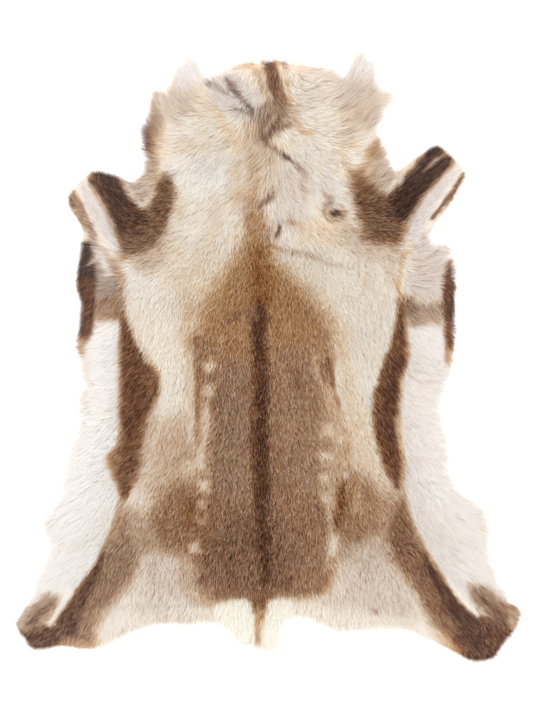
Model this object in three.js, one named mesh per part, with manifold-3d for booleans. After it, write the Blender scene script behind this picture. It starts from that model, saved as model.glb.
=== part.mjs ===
// A whole tanned reindeer hide, hair side up, lying flat. Millimetres, +Z up.
// +Y points to the neck and +X to the hide's right edge as it is seen from above with the neck up.
// It is one skin, so it is one solid: the leather underneath and the pile above it,
// cut to the outline that the hair reaches and as high as the hair stands.
// The origin is on the underside, in the middle of the hide's box.

import * as THREE from 'three';
import { mergeVertices } from 'three/addons/utils/BufferGeometryUtils.js';
import Module from 'manifold-3d';

// Driving dimensions
const EDGE_HEIGHT = 7; // the pile right at the hide's edge
const EDGE_RISE = 70; // how far in from the edge the pile reaches its full height
const LEAST_HEIGHT = 5; // leather and short hair at the bottom of the deepest crease
const LOCK_WAVE = 3.5; // how far locks of hair stand in and out along the edge
const LOCK_LENGTH = 75; // from one such lock to the next
const LOCK_BEAT = 0.37; // a slower wave at this share of the locks' own pace makes them uneven
const TUFT_WAIST = 0.62; // how far along a tuft its two edges bend inwards, and how far they bend
const EDGE_STEP = 18; // spacing of points along the outline
const CELL = 23; // spacing of points over the pile
const CLEAR = 20; // how far the cutting prisms run past the pile, above and below

// The trunk's two side edges, section by section from the neck to the hind feet.
const SECTIONS = [
  { part: 'neck end', y: 592, left: -64, right: 40 },
  { part: 'neck end', y: 585, left: -74, right: 100 },
  { part: 'neck corners', y: 571, left: -92, right: 132 },
  { part: 'neck corners', y: 556, left: -140, right: 160 },
  { part: 'ruff', y: 526, left: -227, right: 220 },
  { part: 'ruff, widest', y: 500, left: -242, right: 238 },
  { part: 'neck', y: 460, left: -253, right: 219 },
  { part: 'neck', y: 420, left: -257, right: 226 },
  { part: 'neck', y: 384, left: -251, right: 245 },
  { part: 'shoulder notch', y: 354, left: -262, right: 256 },
  { part: 'shoulder', y: 290, left: -296, right: 276 },
  { part: 'armpit', y: 246, left: -374, right: 314 },
  { part: 'belly corner', y: 214, left: -381, right: 335 },
  { part: 'belly corner', y: 196, left: -380, right: 380 },
  { part: 'flank', y: 150, left: -387, right: 373 },
  { part: 'flank', y: 100, left: -379, right: 371 },
  { part: 'flank', y: 50, left: -384, right: 373 },
  { part: 'flank', y: -10, left: -385, right: 367 },
  { part: 'belly step', y: -58, left: -377, right: 362 },
  { part: 'belly step', y: -78, left: -381, right: 350 },
  { part: 'belly', y: -120, left: -385, right: 345 },
  { part: 'belly', y: -150, left: -392, right: 361 },
  { part: 'belly', y: -205, left: -411, right: 362 },
  { part: 'groin', y: -236, left: -419, right: 362 },
  { part: 'groin', y: -274, left: -429, right: 407 },
  { part: 'thigh', y: -316, left: -455, right: 437 },
  { part: 'thigh', y: -352, left: -456, right: 448 },
  { part: 'thigh', y: -392, left: -451, right: 445 },
  { part: 'hock', y: -430, left: -470, right: 462 },
  { part: 'hock', y: -475, left: -484, right: 474 },
  { part: 'foot', y: -512, left: -493, right: 504 },
  { part: 'foot', y: -540, left: -509, right: 500 },
  { part: 'foot', y: -566, left: -494, right: 482 },
];

// The hind edge, from the left foot over the tail to the right foot.
const HIND_EDGE = [
  { part: 'left toe', x: -482, y: -588 },
  { part: 'left toe', x: -446, y: -590 },
  { part: 'left cleft', x: -424, y: -580 },
  { part: 'left heel', x: -384, y: -591 },
  { part: 'left heel', x: -330, y: -586 },
  { part: 'left shank', x: -276, y: -562 },
  { part: 'left rump', x: -206, y: -540 },
  { part: 'left rump', x: -154, y: -548 },
  { part: 'left rump', x: -104, y: -542 },
  { part: 'beside the tail', x: -77, y: -562 },
  { part: 'beside the tail', x: -66, y: -588 },
  { part: 'beside the tail', x: -40, y: -586 },
  { part: 'tail tip', x: -14, y: -598 },
  { part: 'tail tip', x: 8, y: -600 },
  { part: 'beside the tail', x: 30, y: -574 },
  { part: 'beside the tail', x: 40, y: -530 },
  { part: 'right rump', x: 84, y: -534 },
  { part: 'right rump', x: 126, y: -560 },
  { part: 'right rump', x: 206, y: -555 },
  { part: 'right shank', x: 282, y: -563 },
  { part: 'right heel', x: 346, y: -583 },
  { part: 'right heel', x: 396, y: -609 },
  { part: 'right toe', x: 444, y: -612 },
  { part: 'right toe', x: 466, y: -590 },
];

// The forelegs, each opened out flat: its middle line from inside the shoulder to the cut end,
// and half its width there.
const FORELEGS = {
  left: [
    { part: 'inside the shoulder', x: -262, y: 226, half: 96 },
    { part: 'shoulder', x: -306, y: 284, half: 82 },
    { part: 'forearm', x: -339, y: 308, half: 62 },
    { part: 'shank', x: -365, y: 328, half: 50 },
    { part: 'cut end', x: -380, y: 341, half: 39 },
    { part: 'middle of the cut end', x: -384, y: 345, half: 14 },
  ],
  right: [
    { part: 'inside the shoulder', x: 222, y: 238, half: 84 },
    { part: 'shoulder', x: 281, y: 302, half: 68 },
    { part: 'forearm', x: 323, y: 348, half: 58 },
    { part: 'shank', x: 356, y: 383, half: 46 },
    { part: 'cut end', x: 369, y: 395, half: 40 },
    { part: 'middle of the cut end', x: 369.5, y: 395.5, half: 18 },
  ],
};

// Long tufts of the ruff that stick out past the skin, from the middle of the root to the tip.
const TUFTS = [
  { part: 'left of the neck', x: -161, y: 516, tipX: -158, tipY: 610, width: 88 },
  { part: 'left of the neck, small', x: -198, y: 510, tipX: -198, tipY: 552, width: 46 },
  { part: 'right of the neck', x: 184, y: 522, tipX: 193, tipY: 615, width: 88 },
  { part: 'right of the neck, low', x: 200, y: 504, tipX: 264, tipY: 527, width: 84 },
];

// How high the pile stands over each part, and how far that part's height reaches.
const PILE = [
  { part: 'neck end', x: 0, y: 540, reach: 80, height: 30 },
  { part: 'left ruff', x: -180, y: 450, reach: 120, height: 42 },
  { part: 'right ruff', x: 160, y: 450, reach: 120, height: 44 },
  { part: 'middle of the neck', x: 0, y: 420, reach: 90, height: 34 },
  { part: 'withers', x: 0, y: 250, reach: 140, height: 33 },
  { part: 'left foreleg', x: -350, y: 320, reach: 60, height: 13 },
  { part: 'right foreleg', x: 345, y: 370, reach: 60, height: 13 },
  { part: 'left shoulder', x: -210, y: 220, reach: 110, height: 26 },
  { part: 'right shoulder', x: 220, y: 220, reach: 110, height: 26 },
  { part: 'back', x: 0, y: 40, reach: 170, height: 27 },
  { part: 'left flank', x: -250, y: 0, reach: 110, height: 25 },
  { part: 'right flank', x: 240, y: 0, reach: 110, height: 25 },
  { part: 'left belly', x: -370, y: -120, reach: 90, height: 32 },
  { part: 'right belly', x: 380, y: -180, reach: 90, height: 32 },
  { part: 'loin', x: 0, y: -240, reach: 170, height: 28 },
  { part: 'left groin', x: -410, y: -350, reach: 80, height: 30 },
  { part: 'right groin', x: 410, y: -340, reach: 80, height: 32 },
  { part: 'rump', x: 0, y: -460, reach: 120, height: 30 },
  { part: 'left thigh', x: -230, y: -420, reach: 110, height: 23 },
  { part: 'right thigh', x: 230, y: -420, reach: 110, height: 23 },
  { part: 'left foot', x: -430, y: -540, reach: 60, height: 12 },
  { part: 'right foot', x: 440, y: -560, reach: 60, height: 12 },
];

// Creases and partings in the pile, each a soft trough. A negative depth is a soft ridge.
const CREASES = [
  { part: 'left parting by the ear', x: -85, y: 555, toX: -25, toY: 490, width: 20, depth: 12 },
  { part: 'neck pucker', x: -15, y: 440, toX: 45, toY: 395, width: 22, depth: 13 },
  { part: 'neck pucker, lower', x: 45, y: 395, toX: 95, toY: 340, width: 20, depth: 8 },
  { part: 'ridge beside the pucker', x: 25, y: 470, toX: 90, toY: 420, width: 30, depth: -6 },
  { part: 'right ruff crease', x: 70, y: 415, toX: 180, toY: 440, width: 22, depth: 8 },
  { part: 'hollow on the right', x: 120, y: 290, toX: 150, toY: 280, width: 26, depth: 9 },
  { part: 'withers whorl', x: -25, y: 245, toX: 15, toY: 225, width: 26, depth: 9 },
  { part: 'withers parting', x: -30, y: 300, toX: 30, toY: 280, width: 22, depth: 8 },
  { part: 'left flank fold', x: -215, y: -5, toX: -150, toY: -8, width: 20, depth: 4 },
  { part: 'left groin fold', x: -330, y: -300, toX: -430, toY: -480, width: 26, depth: 8 },
  { part: 'right groin fold', x: 285, y: -290, toX: 400, toY: -500, width: 26, depth: 8 },
  { part: 'left belly fold', x: -400, y: -180, toX: -330, toY: -250, width: 28, depth: 6 },
  { part: 'right belly fold', x: 340, y: -80, toX: 300, toY: -140, width: 26, depth: 6 },
];

// Long low swells where the dried skin doesn't lie quite even: wavelengths and height.
const SWELL = { across: 210, along: 260, height: 1.6 };

const wasm = await Module();
wasm.setup();

// A closed mesh as a solid that can be cut and joined.
function solidOf(geometry) {
  const plain = geometry.clone();
  plain.deleteAttribute('normal');
  plain.deleteAttribute('uv');
  const merged = mergeVertices(plain, 1e-3);
  return new wasm.Manifold(new wasm.Mesh({
    numProp: 3,
    vertProperties: merged.attributes.position.array,
    triVerts: new Uint32Array(merged.index.array),
  }));
}

// Points at even steps along a smooth curve through the corners.
function smoothLine(corners, closed) {
  const line = corners.map(([x, y]) => new THREE.Vector3(x, y, 0));
  const curve = new THREE.CatmullRomCurve3(line, closed, 'centripetal');
  const steps = Math.round(curve.getLength() / EDGE_STEP);
  const points = curve.getSpacedPoints(steps);
  return closed ? points.slice(0, -1) : points;
}

// The trunk's outline, round the neck, down the right side, over the hind edge and up the left.
function trunkOutline() {
  const corners = [
    ...SECTIONS.map((row) => [row.right, row.y]),
    ...HIND_EDGE.toReversed().map((row) => [row.x, row.y]),
    ...SECTIONS.toReversed().map((row) => [row.left, row.y]),
  ];
  const edge = smoothLine(corners, true);
  return edge.map((point, i) => {
    const along = edge[(i + 1) % edge.length].clone().sub(edge.at(i - 1)).normalize();
    const turn = (2 * Math.PI * i * EDGE_STEP) / LOCK_LENGTH;
    const out = LOCK_WAVE * Math.sin(turn) * Math.sin(LOCK_BEAT * turn + 1);
    return new THREE.Vector2(point.x + along.y * out, point.y - along.x * out);
  });
}

// A limb's outline: its half width set off to both sides of its middle line.
function limbOutline(rows) {
  const sides = { near: [], far: [] };
  rows.forEach((row, i) => {
    const before = rows[Math.max(i - 1, 0)];
    const after = rows[Math.min(i + 1, rows.length - 1)];
    const along = new THREE.Vector2(after.x - before.x, after.y - before.y).normalize();
    sides.near.push([row.x - along.y * row.half, row.y + along.x * row.half]);
    sides.far.push([row.x + along.y * row.half, row.y - along.x * row.half]);
  });
  const points = smoothLine([...sides.far, ...sides.near.toReversed()], true);
  return points.map((point) => new THREE.Vector2(point.x, point.y));
}

// A tuft's outline: two curves that leave its root side by side and meet at the tip.
function tuftOutline(row) {
  const along = new THREE.Vector2(row.tipX - row.x, row.tipY - row.y);
  const side = new THREE.Vector2(-along.y, along.x).setLength(row.width / 2);
  const waist = new THREE.Vector2(row.x, row.y).addScaledVector(along, TUFT_WAIST);
  const thin = side.clone().multiplyScalar(TUFT_WAIST);
  const shape = new THREE.Shape();
  shape.moveTo(row.x - side.x, row.y - side.y);
  shape.quadraticCurveTo(waist.x - thin.x, waist.y - thin.y, row.tipX, row.tipY);
  shape.quadraticCurveTo(waist.x + thin.x, waist.y + thin.y, row.x + side.x, row.y + side.y);
  return shape.getPoints(4);
}

// How far a place lies inside an outline, negative outside it.
function insideBy(outline, x, y) {
  let nearest = Infinity;
  let inside = false;
  outline.forEach((b, i) => {
    const a = outline.at(i - 1);
    const [dx, dy] = [b.x - a.x, b.y - a.y];
    const share = THREE.MathUtils.clamp(((x - a.x) * dx + (y - a.y) * dy) / (dx * dx + dy * dy), 0, 1);
    nearest = Math.min(nearest, Math.hypot(x - a.x - share * dx, y - a.y - share * dy));
    if (a.y > y !== b.y > y && x < a.x + ((y - a.y) * dx) / dy) inside = !inside;
  });
  return inside ? nearest : -nearest;
}

// How far a place is from the middle line of a crease.
function fromCrease(row, x, y) {
  const [dx, dy] = [row.toX - row.x, row.toY - row.y];
  const share = THREE.MathUtils.clamp(((x - row.x) * dx + (y - row.y) * dy) / (dx * dx + dy * dy), 0, 1);
  return Math.hypot(x - row.x - share * dx, y - row.y - share * dy);
}

// The height of the pile over a place: the parts near it, weighed by how near they are,
// less the creases, and falling off towards the edge.
function pileHeight(outlines, x, y) {
  let weights = 1e-9;
  let height = 0;
  for (const row of PILE) {
    const weight = Math.exp(-(((x - row.x) ** 2 + (y - row.y) ** 2) / row.reach ** 2));
    weights += weight;
    height += weight * row.height;
  }
  height /= weights;
  for (const row of CREASES) {
    height -= row.depth * Math.exp(-((fromCrease(row, x, y) / row.width) ** 2));
  }
  height += SWELL.height * Math.sin((2 * Math.PI * x) / SWELL.across + 1)
    * Math.sin((2 * Math.PI * y) / SWELL.along);
  const depth = Math.max(...outlines.map((outline) => insideBy(outline, x, y)));
  const rise = THREE.MathUtils.smoothstep(depth, -EDGE_RISE / 4, EDGE_RISE);
  return Math.max(LEAST_HEIGHT, EDGE_HEIGHT + (height - EDGE_HEIGHT) * rise);
}

// A flat-bottomed block over the whole hide whose top follows the pile.
function pileBlock(outlines) {
  const box = new THREE.Box2().setFromPoints(outlines.flat()).expandByScalar(CELL);
  const size = box.getSize(new THREE.Vector2());
  const middle = box.getCenter(new THREE.Vector2());
  const [across, along] = [Math.round(size.x / CELL), Math.round(size.y / CELL)];
  const block = new THREE.BoxGeometry(size.x, size.y, 1, across, along, 1);
  block.translate(middle.x, middle.y, 0);
  const at = block.attributes.position;
  for (let i = 0; i < at.count; i += 1) {
    at.setZ(i, at.getZ(i) > 0 ? pileHeight(outlines, at.getX(i), at.getY(i)) : 0);
  }
  return solidOf(block);
}

// A prism over an outline, taller than any pile.
function prism(outline) {
  const tallest = Math.max(...PILE.map((row) => row.height));
  const block = new THREE.ExtrudeGeometry(new THREE.Shape(outline), {
    depth: tallest + 2 * CLEAR,
    bevelEnabled: false,
  });
  block.translate(0, 0, -CLEAR);
  return solidOf(block);
}

function hideGeometry() {
  const outlines = [
    trunkOutline(),
    ...Object.values(FORELEGS).map(limbOutline),
    ...TUFTS.map(tuftOutline),
  ];
  let footprint = prism(outlines[0]);
  for (const outline of outlines.slice(1)) footprint = footprint.add(prism(outline));
  const cut = pileBlock(outlines).intersect(footprint).getMesh();
  const geometry = new THREE.BufferGeometry();
  geometry.setAttribute('position', new THREE.BufferAttribute(cut.vertProperties, 3));
  geometry.setIndex(new THREE.BufferAttribute(cut.triVerts, 1));
  geometry.computeBoundingBox();
  const middle = geometry.boundingBox.getCenter(new THREE.Vector3());
  geometry.translate(-middle.x, -middle.y, -geometry.boundingBox.min.z);
  geometry.computeVertexNormals();
  return geometry;
}

const reindeerHair = new THREE.MeshStandardMaterial({
  color: 0xc9b59b,
  roughness: 0.85,
  metalness: 0,
});

const hide = new THREE.Mesh(hideGeometry(), reindeerHair);
hide.name = 'hide';

const group = new THREE.Group();
group.add(hide);

export default group;
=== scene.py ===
# %% [markdown]
# # A whole reindeer hide, hair side up
# The hide is one tanned skin with all its hair on. From below it is made of three things: the leather,
# a dense woolly undercoat, and the long guard hairs that give it its colours and its soft edge.
# The lesson builds them in that order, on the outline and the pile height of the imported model.

# %% The frame
import math

import bmesh
import bpy
import numpy as np
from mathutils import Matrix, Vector
from mathutils.bvhtree import BVHTree


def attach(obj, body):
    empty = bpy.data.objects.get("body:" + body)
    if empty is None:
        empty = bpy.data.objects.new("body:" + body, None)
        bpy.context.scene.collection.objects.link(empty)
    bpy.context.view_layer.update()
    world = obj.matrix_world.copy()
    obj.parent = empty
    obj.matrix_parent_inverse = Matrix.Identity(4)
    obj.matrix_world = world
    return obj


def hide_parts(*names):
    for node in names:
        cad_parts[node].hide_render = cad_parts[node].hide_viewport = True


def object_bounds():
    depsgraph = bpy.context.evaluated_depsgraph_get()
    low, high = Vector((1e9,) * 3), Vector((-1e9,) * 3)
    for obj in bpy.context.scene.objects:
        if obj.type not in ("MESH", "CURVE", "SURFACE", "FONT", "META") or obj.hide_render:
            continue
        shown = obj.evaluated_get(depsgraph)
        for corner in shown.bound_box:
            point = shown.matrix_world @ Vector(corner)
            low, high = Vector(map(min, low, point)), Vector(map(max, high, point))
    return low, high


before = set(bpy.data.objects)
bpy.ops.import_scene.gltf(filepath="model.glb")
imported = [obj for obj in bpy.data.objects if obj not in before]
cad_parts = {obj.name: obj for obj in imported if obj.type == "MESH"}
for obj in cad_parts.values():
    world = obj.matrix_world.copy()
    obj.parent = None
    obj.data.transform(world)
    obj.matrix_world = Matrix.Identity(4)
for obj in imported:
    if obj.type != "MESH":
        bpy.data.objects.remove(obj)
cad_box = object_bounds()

MM = 0.001
cad_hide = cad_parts["hide"]
print("hide's box in mm:", [[round(c / MM) for c in corner] for corner in cad_box])

# %% [markdown]
# ## Colours and nodes
# Colours are written as the hex numbers that a colour chart gives, and turned linear in one place,
# because that is what the shaders work in. One small function adds any shader node, so a material below
# reads as a list of its nodes.

# %% Colour and node helpers
def linear(hex_colour):
    """A colour chart's hex number as the linear colour that shaders use."""
    channels = [int(hex_colour[i : i + 2], 16) / 255 for i in (1, 3, 5)]
    curve = [c / 12.92 if c <= 0.04045 else ((c + 0.055) / 1.055) ** 2.4 for c in channels]
    return (*curve, 1.0)


def set_stops(elements, stops):
    """Gives the elements of a colour ramp these (place, hex colour) stops."""
    while len(elements) < len(stops):
        elements.new(0.5)
    for element, (place, colour) in zip(elements, stops):
        element.position = place
        element.color = linear(colour)


def node(tree, kind, settings=None, **links):
    """Adds a shader node. settings are its properties, plain input values and a ramp's stops, and links
    are its joined inputs."""
    made = tree.nodes.new("ShaderNode" + kind)
    for name, value in (settings or {}).items():
        if name == "stops":
            set_stops(made.color_ramp.elements, value)
        elif name in made.inputs:
            made.inputs[name].default_value = value
        else:
            setattr(made, name, value)
    for name, source in links.items():
        tree.links.new(source, made.inputs[name.replace("_", " ")])
    return made


def new_material(name):
    """A new material, with its node tree and its shader."""
    material = bpy.data.materials.new(name)
    material.use_nodes = True
    tree = material.node_tree
    return material, tree, tree.nodes["Principled BSDF"]


print("a chart's mid grey is", round(linear("#808080")[0], 3), "in linear light")

# %% [markdown]
# ## Maps of the hide
# Everything on a hide depends on where it is: how long and how upright the hair is, which way it lies
# and what colour it has. A ray cast for each of a few hundred thousand hairs would be slow, so the
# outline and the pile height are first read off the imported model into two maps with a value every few
# millimetres, and the rest looks its place up in them.

# %% The outline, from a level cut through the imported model
CUT_HEIGHT = 1 * MM
SAME_PLACE = 0.01 * MM
ON_THE_CUT = 0.001 * MM


def outline_of(thing, height):
    """The loop of (x, y) points where a level cut at this height meets the thing's surface."""
    bm = bmesh.new()
    bm.from_mesh(thing.data)
    bmesh.ops.remove_doubles(bm, verts=bm.verts, dist=SAME_PLACE)
    bmesh.ops.bisect_plane(
        bm, geom=[*bm.verts, *bm.edges, *bm.faces], dist=ON_THE_CUT, plane_co=(0, 0, height),
        plane_no=(0, 0, 1), clear_inner=True, clear_outer=True,
    )
    vert = bm.verts[:][0]
    edge = vert.link_edges[0]
    loop = []
    for _ in range(len(bm.verts)):
        loop.append(vert.co.xy.to_tuple())
        vert = edge.other_vert(vert)
        edge = next(e for e in vert.link_edges if e is not edge)
    bm.free()
    return np.array(loop)


rim = outline_of(cad_hide, CUT_HEIGHT)
print("points round the outline:", len(rim))

# %% The maps' places
MAP_STEP = 4 * MM
MAP_SPARE = 30 * MM
low = np.array(cad_box[0][:2]) - MAP_SPARE
columns, lines = (np.ceil((np.array(cad_box[1][:2]) + MAP_SPARE - low) / MAP_STEP)).astype(int) + 1
map_x, map_y = np.meshgrid(low[0] + MAP_STEP * np.arange(columns), low[1] + MAP_STEP * np.arange(lines))
print("map of", columns, "by", lines, "places")

# %% How far inside, and how high
ABOVE_ALL = 10 * MM


def distance_inside(x, y, loop):
    """How far each place is inside a closed loop of points, negative outside it."""
    nearest = np.full(x.shape, np.inf)
    inside = np.zeros(x.shape, bool)
    for (ax, ay), (bx, by) in zip(loop, np.roll(loop, -1, axis=0)):
        dx, dy = bx - ax, by - ay
        share = np.clip(((x - ax) * dx + (y - ay) * dy) / (dx * dx + dy * dy + 1e-18), 0, 1)
        nearest = np.minimum(nearest, (x - ax - share * dx) ** 2 + (y - ay - share * dy) ** 2)
        if ay != by:
            inside ^= ((ay > y) != (by > y)) & (x < ax + (y - ay) * dx / dy)
    return np.where(inside, 1, -1) * np.sqrt(nearest)


def pile_top(x, y):
    """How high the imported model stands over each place, 0 where it isn't."""
    tree = BVHTree.FromObject(cad_hide, bpy.context.evaluated_depsgraph_get())
    above = cad_box[1][2] + ABOVE_ALL
    heights = np.zeros(x.size)
    for i, (px, py) in enumerate(zip(x.ravel(), y.ravel())):
        hit = tree.ray_cast(Vector((px, py, above)), Vector((0, 0, -1)))[0]
        heights[i] = hit.z if hit else 0
    return heights.reshape(x.shape)


inside_map = distance_inside(map_x, map_y, rim)
height_map = pile_top(map_x, map_y)
slope_y, slope_x = np.gradient(inside_map, MAP_STEP)
hide_area = float((inside_map > 0).sum()) * MAP_STEP**2
print("area in square metres:", round(hide_area, 3), "pile up to mm:", round(height_map.max() / MM))

# %% Reading a map, soft steps and soft chance
LATTICE = 97
LATTICE_START = (31.7, 17.3)


def look_up(grid, x, y):
    """A map's value at any place, blended between its nearest four points."""
    col = np.clip((x - low[0]) / MAP_STEP, 0, columns - 1.001)
    row = np.clip((y - low[1]) / MAP_STEP, 0, lines - 1.001)
    c, r = col.astype(int), row.astype(int)
    fc, fr = col - c, row - r
    upper = grid[r, c] * (1 - fc) + grid[r, c + 1] * fc
    lower = grid[r + 1, c] * (1 - fc) + grid[r + 1, c + 1] * fc
    return upper * (1 - fr) + lower * fr


def smooth_step(edge0, edge1, value):
    """0 below edge0, 1 above edge1 and an S curve between."""
    t = np.clip((value - edge0) / (edge1 - edge0), 0, 1)
    return t * t * (3 - 2 * t)


def drift(x, y, size, seed):
    """Soft random hills and hollows from -1 to 1, about this many metres across."""
    lattice = np.random.default_rng(seed).uniform(-1, 1, (LATTICE, LATTICE))
    u, v = x / size + LATTICE_START[0], y / size + LATTICE_START[1]
    iu, iv = np.floor(u).astype(int), np.floor(v).astype(int)
    fu, fv = smooth_step(0, 1, u - iu), smooth_step(0, 1, v - iv)
    here, there = iu % LATTICE, (iu + 1) % LATTICE
    below, above = iv % LATTICE, (iv + 1) % LATTICE
    near = lattice[below, here] * (1 - fu) + lattice[below, there] * fu
    far = lattice[above, here] * (1 - fu) + lattice[above, there] * fu
    return near * (1 - fv) + far * fv


print("pile at the middle in mm:", round(float(look_up(height_map, np.zeros(1), np.zeros(1))[0]) / MM, 1))

# %% [markdown]
# ## How the coat lies
# A furrier combs a hide part by part, and each part of the animal has its own kind of hair. Combing by
# hand in the editor would work too, but a table can be read and changed. KINDS gives the kinds of hair,
# and COAT the direction in which the hair lies at some places on the hide. In between, the nearest
# places share the say. Directions are in degrees: 0 to the right, 90 to the neck, 180 to the left and
# 270 to the tail.

# %% Kinds of hair
# reach: how far the visible hair runs along the skin, width: how wide a strand is drawn (finer hairs
# than the render can show are drawn as one), lock and pull: the size of a lock and how tightly its hairs
# draw together, stray: how far single hairs turn off, splay: how much they turn outwards at the hide's
# edge, inset: how far the leather's edge lies inside the hair's, ragged: how unevenly the hair ends
# there, close: how densely it grows. Lengths are in mm, stray in degrees.
SIZES = ("reach", "width", "lock", "pull", "stray", "splay", "inset", "ragged", "close")
KINDS = {
    "ruff": (42, 0.7, 16, 0.18, 5, 0.5, 20, 16, 0.8),
    "tuft": (46, 0.8, 16, 0.3, 6, 0.1, 26, 36, 0.6),
    "neck": (25, 0.75, 11, 0.1, 6, 0.8, 6, 9, 0.9),
    "back": (11, 1.0, 5, 0.15, 13, 0.2, 8, 5, 1.0),
    "flank": (15, 0.95, 8, 0.18, 8, 0.2, 6, 4, 1.0),
    "hem": (15, 0.9, 6, 0.2, 9, 0.3, 2, 3, 1.1),
    "belly": (38, 0.75, 18, 0.16, 6, 0.4, 20, 22, 0.75),
    "leg": (13, 0.9, 5, 0.2, 7, 0.4, 1.5, 7, 1.1),
    "rump": (21, 0.95, 8, 0.22, 9, 0.6, 16, 14, 1.0),
    "tail": (34, 0.9, 13, 0.4, 8, 0.2, 15, 13, 0.95),
}
print("kinds of hair:", list(KINDS))

# %% The lie of the coat
# For each piece of fur: (kind, x, y, reach of this row, direction), places in mm
COAT = {
    "neck": [
        ("neck", 0, 570, 60, 268), ("neck", -95, 525, 48, 128), ("tuft", -160, 560, 34, 104),
        ("ruff", -185, 505, 52, 124), ("ruff", -226, 465, 48, 138), ("ruff", -232, 405, 50, 160),
        ("hem", -236, 350, 34, 215), ("neck", -130, 440, 62, 192), ("neck", -100, 370, 70, 232),
        ("neck", -10, 480, 40, 262), ("neck", 0, 430, 34, 240), ("neck", 45, 440, 36, 318),
        ("neck", 75, 500, 52, 12), ("ruff", 145, 520, 52, 50), ("tuft", 176, 560, 34, 66),
        ("tuft", 214, 510, 28, 20), ("ruff", 190, 470, 46, 36), ("ruff", 190, 425, 46, 42),
        ("ruff", 178, 380, 36, 55), ("neck", 130, 400, 60, 330),
    ],
    "shoulders": [
        ("neck", 100, 330, 55, 305), ("neck", -80, 285, 75, 242), ("neck", 70, 270, 60, 320),
        ("back", 0, 215, 60, 270), ("back", -70, 180, 60, 248), ("back", 60, 170, 60, 296),
        ("flank", -180, 215, 65, 212), ("leg", -218, 270, 42, 190), ("leg", -208, 330, 36, 172),
        ("flank", 180, 215, 65, 328), ("leg", 220, 270, 45, 350), ("leg", 184, 330, 38, 18),
    ],
    "back": [
        ("back", 0, 60, 150, 270), ("back", -115, 60, 90, 257), ("back", 115, 60, 90, 283),
        ("back", 75, -60, 50, 298), ("flank", -190, 30, 80, 238), ("flank", 180, 30, 80, 302),
        ("flank", -265, 10, 50, 222), ("flank", 250, 10, 50, 318),
    ],
    "loin": [
        ("back", 75, -200, 60, 294), ("back", 0, -170, 150, 270), ("flank", -190, -150, 80, 240),
        ("flank", 180, -150, 80, 300), ("flank", -270, -110, 50, 222), ("flank", -285, -230, 50, 225),
        ("flank", 245, -110, 50, 318), ("flank", 255, -230, 50, 315),
    ],
    "rump": [
        ("back", 0, -360, 150, 270), ("back", -190, -330, 80, 246), ("back", 180, -330, 80, 294),
        ("rump", -150, -480, 70, 262), ("rump", 150, -480, 70, 278), ("rump", -260, -520, 55, 255),
        ("rump", 260, -520, 55, 285), ("tail", 0, -560, 36, 268), ("tail", -62, -545, 32, 262),
        ("tail", 48, -540, 32, 282),
    ],
    "legs": [
        ("leg", -300, 270, 50, 140), ("leg", -350, 325, 50, 134), ("leg", 285, 300, 50, 44),
        ("leg", 350, 370, 50, 46), ("leg", -290, -370, 60, 236), ("leg", -350, -480, 60, 238),
        ("leg", -430, -560, 60, 228), ("leg", 280, -370, 60, 304), ("leg", 340, -480, 60, 304),
        ("leg", 430, -560, 60, 312), ("rump", -445, -500, 24, 226), ("rump", 450, -505, 24, 322),
    ],
    "belly": [
        ("belly", -325, 190, 34, 160), ("hem", -366, 180, 34, 250), ("hem", -370, 70, 34, 262),
        ("belly", -335, 50, 34, 188), ("belly", -345, -70, 50, 196), ("belly", -380, -190, 60, 206),
        ("belly", -410, -310, 60, 212), ("belly", -435, -420, 50, 226), ("belly", 325, 180, 36, 18),
        ("hem", 360, 110, 36, 285), ("hem", 360, 10, 30, 280), ("belly", 320, 50, 34, 352),
        ("belly", 330, -70, 50, 345), ("belly", 350, -190, 60, 338), ("belly", 400, -300, 60, 330),
        ("belly", 430, -410, 50, 318),
    ],
}
PIECES = list(COAT)
print("rows for each piece of fur:", {piece: len(rows) for piece, rows in COAT.items()})

# %% Looking the coat up
NOTHING = 1e-12


def coat_at(x, y):
    """The coat at each place: direction in radians, the kinds' sizes blended, and the nearest piece."""
    total = np.full(x.shape, NOTHING)
    strongest = np.zeros(x.shape)
    piece = np.zeros(x.shape, int)
    east, north = np.zeros(x.shape), np.zeros(x.shape)
    sizes = {name: np.zeros(x.shape) for name in SIZES}
    for index, rows in enumerate(COAT.values()):
        for kind, cx, cy, reach, degrees in rows:
            weight = np.exp(-((x / MM - cx) ** 2 + (y / MM - cy) ** 2) / reach**2) + NOTHING
            total += weight
            east += weight * math.cos(math.radians(degrees))
            north += weight * math.sin(math.radians(degrees))
            for name, size in zip(SIZES, KINDS[kind]):
                sizes[name] += weight * size
            piece = np.where(weight > strongest, index, piece)
            strongest = np.maximum(strongest, weight)
    return np.arctan2(north, east), {name: size / total for name, size in sizes.items()}, piece


middle_lie = coat_at(np.zeros(1), np.zeros(1))[0]
print("the hair at the middle lies at degrees:", round(math.degrees(middle_lie[0]) % 360))
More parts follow.
